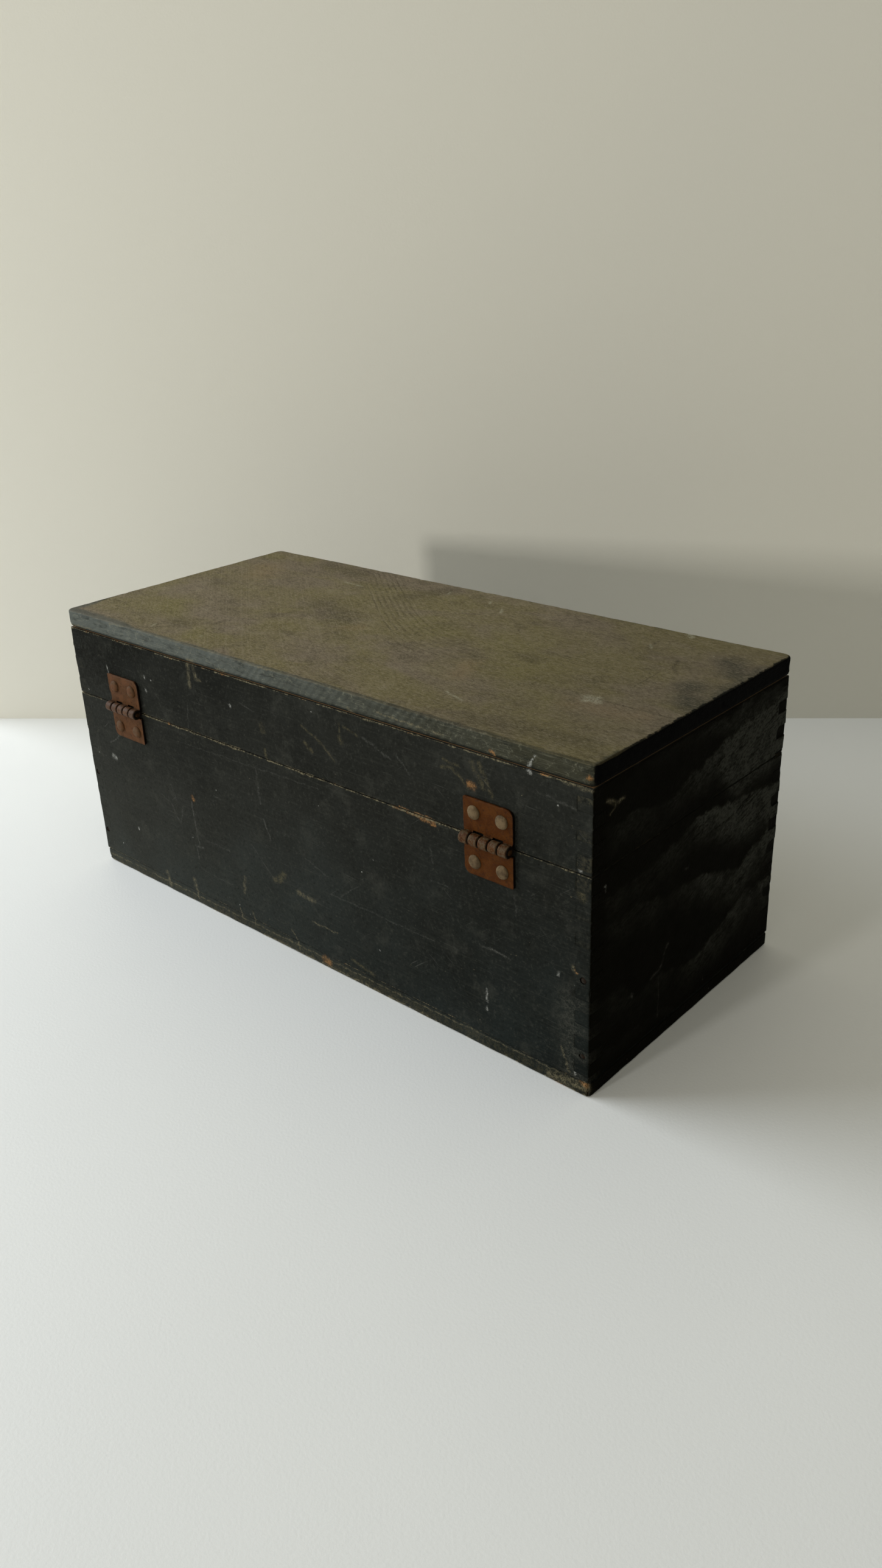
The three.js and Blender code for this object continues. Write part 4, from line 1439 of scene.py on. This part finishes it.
def rusted(name, shades, barrel_shade=None):
    """Rusted steel in three shades: the ground, its lighter patches, and what is rubbed.

    A hinge's leaf also has the shade of its barrel, which is rubbed brighter as it turns and carries painted
    glints. The faces of a leaf that look towards -x are painted black, as painted shade.
    """
    rust = Finish(name)
    ground, patch, rubbed = shades
    patches = rust.noise(5.5, detail=4.0, roughness=0.62)
    grit = rust.noise(0.6, detail=4.0, roughness=0.75)
    bloom = rust.noise(1.9, detail=4.0, roughness=0.65)
    colour = rust.layered(
        ground,
        (patches, 0.38, 0.64, 1.0, patch),
        (bloom, 0.50, 0.28, 0.55, rust_dark),
        (grit, 0.52, 0.75, 0.50, rubbed),
        (grit, 0.46, 0.28, 0.45, rust_dark),
    )
    gloss = rust.spread(grit, steel_smooth, steel_matt)
    if barrel_shade:
        away_y = rust.less(rust.y, hinge_line.y)
        away_z = rust.less(rust.z, hinge_line.z)
        away = rust.plus(rust.times(away_y, away_y), rust.times(away_z, away_z))
        barrel = rust.step(away, (barrel_radius * barrel_outer) ** 2, (barrel_radius * barrel_inner) ** 2)
        worn = rust.layered(
            colour,
            (bloom, 0.40, 0.62, 1.0, barrel_shade),
            (grit, 0.56, 0.72, 0.70, painted_glint_tan),
        )
        colour = rust.mix(barrel, colour, worn)
        gloss = rust.less(gloss, rust.times(barrel, barrel_polish))
        # The faces that look towards -x, away from the light, are painted black: painted shade.
        turned = rust.add("ShaderNodeSeparateXYZ", {"Vector": rust.normal}, out="X")
        colour = rust.layered(colour, (turned, -0.3, -0.8, 0.90, painted_shade_black))
    return rust.surface(colour, gloss, rust.relief((grit, 0.16), (bloom, 0.22)), steel_shine)


leaf_rust = {
    "left_hinge": rusted("rusted_leaf_left", (rust_orange, rust_tawny, rust_tawny), barrel_grey),
    "right_hinge": rusted("rusted_leaf_right", (rust_brown, rust_red, rust_red), barrel_brown),
}
for hinge, middle in hinge_middles.items():
    cuts = [place + way * cut for place in knuckle_places(middle) for cut in knuckle_cuts for way in (-1, 1)]
    for half in ("lid", "body"):
        node = f"{hinge}_{half}_leaf"
        bitten = 1 if node == "right_hinge_lid_leaf" else 0

        def worn_leaf(point, middle=middle, bitten=bitten):
            return worn_steel(point, middle, bitten)

        leaf = reworked(node, "rusted_" + node, leaf_cells, leaf_halvings, (), worn_leaf, cuts)
        fitted(leaf, node, leaf_rust[hinge])


# The nails: dome-headed ones through the hinge leaves, and small flat-headed ones in the corners, under the
# bottom and through the plates of the catch. Their heads were hammered, so no two are quite round.
head_rust = {
    "left_hinge": rusted("grey_nail", (disc_grey, barrel_grey, disc_grey)),
    "right_hinge": rusted("brown_nail", (disc_brown, rust_red, barrel_brown)),
}
brad_rust = rusted("dark_nail", (rust_dark, paint_haze_and_sheen, rust_brown))
pin_rust = rusted("hinge_pin", (rust_brown, rust_dark, barrel_grey))
dome_profile = ((0.0, 1.0), (0.36, 0.98), (0.62, 0.90), (0.80, 0.75), (0.92, 0.52), (0.99, 0.24), (1.0, 0.0))
brad_profile = ((0.0, 1.0), (0.5, 1.0), (0.85, 0.94), (0.97, 0.72), (1.0, 0.35), (1.0, 0.0))
dome_height = 1.2
dome_wobble = 0.16
brad_height = 0.3
brad_wobble = 0.08
nail_sides = 28
shank_share = 0.34
shank_step = 0.05
tip_clearance = 0.02
rim_bump_share = 0.9
rim_bump_in = 0.4
dimple_share = 0.6
dimple_apart = 1.7


def nail_profile(profile, radius, rise, length):
    """Half the outline of a nail along its own axis, its head's top at 0, as (across, along) in mm."""
    path = [(share * radius, (height - 1) * rise) for share, height in profile]
    shank = shank_share * radius
    return path + [(shank, -rise - shank_step), (shank, rise - length), (0.0, tip_clearance - length)]


def turned_nail(outline):
    """A closed shell made by turning half an outline round its own axis."""
    bm = bmesh.new()
    points = [bm.verts.new((across * mm, 0.0, along * mm)) for across, along in outline]
    for first, second in zip(points, points[1:]):
        bm.edges.new((first, second))
    turn = {"axis": (0, 0, 1), "cent": (0, 0, 0), "angle": math.tau, "steps": nail_sides}
    bmesh.ops.spin(bm, geom=[*bm.verts, *bm.edges], use_merge=True, use_duplicate=False, **turn)
    bmesh.ops.remove_doubles(bm, verts=bm.verts, dist=weld)
    bmesh.ops.recalc_face_normals(bm, faces=bm.faces)
    return bm


def hammered(place, middle, radius, rise, wobble):
    """A point of a nail whose head has been knocked out of true. middle makes each nail different."""
    around = Vector((place.x, place.y, 0.0))
    if place.z > -rise - tip_clearance and around.length > shank_step:
        shift = wobble * (rough(place + middle, radius * rim_bump_share) - rim_bump_in)
        place += around.normalized() * min(0.0, shift) * around.length / radius
    if place.z > -rise + tip_clearance:
        place.z -= wobble * swell(place + middle * dimple_apart, radius * dimple_share)
    return place


def nail_piece(node, profile, finish, rise, wobble):
    """A nail in its node's place, along the longest side of the node's box, its head outwards."""
    low, high = (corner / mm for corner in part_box(node))
    size = high - low
    middle = (low + high) / 2
    axis = max(range(3), key=lambda side: size[side])
    radius = max(size[side] for side in range(3) if side != axis) / 2
    outward = -1.0 if axis == 2 else math.copysign(1.0, middle[axis])
    bm = turned_nail(nail_profile(profile, radius, rise, size[axis]))
    for vertex in bm.verts:
        vertex.co = hammered(vertex.co / mm, middle, radius, rise, wobble) * mm
    toward = Vector([outward if side == axis else 0.0 for side in range(3)])
    base = Vector(middle)
    base[axis] = high[axis] if outward > 0 else low[axis]
    turned = Matrix.Translation(base * mm) @ toward.to_track_quat("Z", "Y").to_matrix().to_4x4()
    bmesh.ops.transform(bm, matrix=turned, verts=bm.verts)
    piece = placed(bm, "hammered_" + node)
    piece.data.shade_smooth()
    piece.data.set_sharp_from_angle(angle=smooth_below)
    fitted(piece, node, finish)


for node in sorted(frame["nodes"]):
    if "hinge" in node and "nail" in node:
        hinge = "left_hinge" if node.startswith("left") else "right_hinge"
        nail_piece(node, dome_profile, head_rust[hinge], dome_height, dome_wobble)
    elif "nail" in node or "tack" in node:
        nail_piece(node, brad_profile, brad_rust, brad_height, brad_wobble)
    elif node.endswith("_pin"):
        pin = frame["nodes"][node]
        pin.data.materials.clear()
        pin.data.materials.append(pin_rust)


# The catch on the front: a hook cut from thin steel that swings on a rivet, a plate under it, and a second
# plate with the stud that it takes hold of. It is rusted like the hinges.
catch_rust = rusted("rusted_catch", (rust_brown, rust_red, barrel_grey))
plate_bite = 0.08
catch_pieces = {
    "hook_plate": (catch_rust, "rusty_steel"),
    "catch_hook": (catch_rust, "rusty_steel"),
    "keeper_plate": (catch_rust, "rusty_steel"),
    "hook_rivet": (pin_rust, "nail_steel"),
    "keeper_stud": (pin_rust, "nail_steel"),
}


def worn_plate(point):
    """Thin sheet steel with slightly uneven edges."""
    return nibbled(point, plate_bite)


for node, (finish, slot) in catch_pieces.items():
    piece = reworked(node, "rusted_" + node, leaf_cells, leaf_halvings, (), worn_plate)
    fitted(piece, node, finish)


# The room: a white table top against a plain wall, lit by a broad window on the left and a smaller one
# further round. None of it belongs to the chest.
floor_colour = (0.78, 0.785, 0.765, 1)
wall_colour = (0.66, 0.64, 0.56, 1)
floor_roughness = 0.5
wall_roughness = 0.8
soiled = (0.5, 0.5, 0.5, 1)
soiled_size = 240.0
soiled_amount = 0.06
room_grain = 1.2
room_grain_height = 0.05
wall_foot_left = Vector((0.406, -0.021, 0.0))
wall_foot_right = Vector((-0.084, -0.383, 0.0))
room_reach = 3.0
wall_height = 2.4
wall_left_reach = 0.36


def flat_piece(name, corners, colour, roughness, see_through_back):
    """One flat surface of the room, with the faintest clouding and grain."""
    bm = bmesh.new()
    bm.faces.new([bm.verts.new(corner) for corner in corners])
    piece = placed(bm, name)
    paint = Finish(name)
    cloud = paint.noise(soiled_size, detail=3.0)
    look = {
        "Base Color": paint.layered(colour, (cloud, 0.4, 0.7, soiled_amount, soiled)),
        "Roughness": roughness,
        "Normal": paint.relief((paint.noise(room_grain), room_grain_height)),
    }
    seen = paint.add("ShaderNodeBsdfPrincipled", look)
    if see_through_back:
        behind = paint.add("ShaderNodeNewGeometry", out="Backfacing")
        clear = paint.add("ShaderNodeBsdfTransparent")
        seen = paint.add("ShaderNodeMixShader", {0: behind, 1: seen, 2: clear})
    piece.data.materials.append(paint.shown(seen))


wall_run = (wall_foot_left - wall_foot_right).normalized()
wall_middle = (wall_foot_left + wall_foot_right) / 2
wall_left, wall_right = wall_middle + wall_run * wall_left_reach, wall_middle - wall_run * room_reach
up = Vector((0, 0, wall_height))
wall_corners = (wall_left, wall_right, wall_right + up, wall_left + up)
floor_corners = [Vector((x, y, 0)) * room_reach for x, y in ((-1, -1), (1, -1), (1, 1), (-1, 1))]
flat_piece("table_top", floor_corners, floor_colour, floor_roughness, False)
flat_piece("wall", wall_corners, wall_colour, wall_roughness, True)

window_azimuth = math.radians(26)
window_rise = math.radians(29)
window_distance = 1.7
window_size = (1.3, 0.9)
window_power = 27.0
window_colour = (1.04, 1.11, 1.19)
far_azimuth = math.radians(84)
far_rise = math.radians(11.2)
far_distance = 3.0
far_size = (0.24, 0.34)
far_power = 29.0
far_colour = (1.0, 0.98, 0.93)


def lit_by(name, azimuth, rise, distance, size, power, colour):
    """A rectangle of light at a distance from the middle of the table top, turned to face it."""
    lamp = bpy.data.lights.new(name, "AREA")
    lamp.shape = "RECTANGLE"
    lamp.size, lamp.size_y = size
    lamp.energy = power
    lamp.color = colour
    light = bpy.data.objects.new(name, lamp)
    bpy.context.scene.collection.objects.link(light)
    level = Vector((math.cos(azimuth), math.sin(azimuth), 0.0))
    toward = level * math.cos(rise) + Vector((0, 0, math.sin(rise)))
    light.location = toward * distance
    light.rotation_euler = toward.to_track_quat("Z", "Y").to_euler()


lit_by("window", window_azimuth, window_rise, window_distance, window_size, window_power, window_colour)
lit_by("far_window", far_azimuth, far_rise, far_distance, far_size, far_power, far_colour)


# The rest of the room: the soft light that it gives from all sides, and the plain wall colour that the camera
# sees of it beyond the ends of the wall.
room_light = (0.380, 0.372, 0.325, 1)
room_seen = (0.50, 0.485, 0.42, 1)
world = bpy.data.worlds.new("room")
world.use_nodes = True
sky = world.node_tree.nodes
path = sky.new("ShaderNodeLightPath")
shown = sky.new("ShaderNodeMix")
shown.data_type = "RGBA"
shown.inputs[6].default_value = room_light
shown.inputs[7].default_value = room_seen
world.node_tree.links.new(path.outputs["Is Camera Ray"], shown.inputs[0])
world.node_tree.links.new(shown.outputs[2], sky["Background"].inputs["Color"])
bpy.context.scene.world = world


# The camera. Its place, its aim, its roll and its lens were found from the straight edges of the chest in
# the photograph.
camera_place = Vector((-0.3959, 0.4041, 0.3282))
camera_forward = Vector((0.6132, -0.6688, -0.4203)).normalized()
camera_roll = math.radians(-2.272)
camera_lens = 27.73
camera = bpy.data.cameras.new("camera")
camera.lens = camera_lens
camera_object = bpy.data.objects.new("camera", camera)
bpy.context.scene.collection.objects.link(camera_object)
level = camera_forward.cross(Vector((0, 0, 1))).normalized()
upright = level.cross(camera_forward)
right = level * math.cos(camera_roll) + upright * math.sin(camera_roll)
upward = upright * math.cos(camera_roll) - level * math.sin(camera_roll)
camera_object.matrix_world = Matrix((
    (right.x, upward.x, -camera_forward.x, camera_place.x),
    (right.y, upward.y, -camera_forward.y, camera_place.y),
    (right.z, upward.z, -camera_forward.z, camera_place.z),
    (0, 0, 0, 1),
))
bpy.context.scene.camera = camera_object
bpy.context.scene.view_settings.view_transform = "Standard"
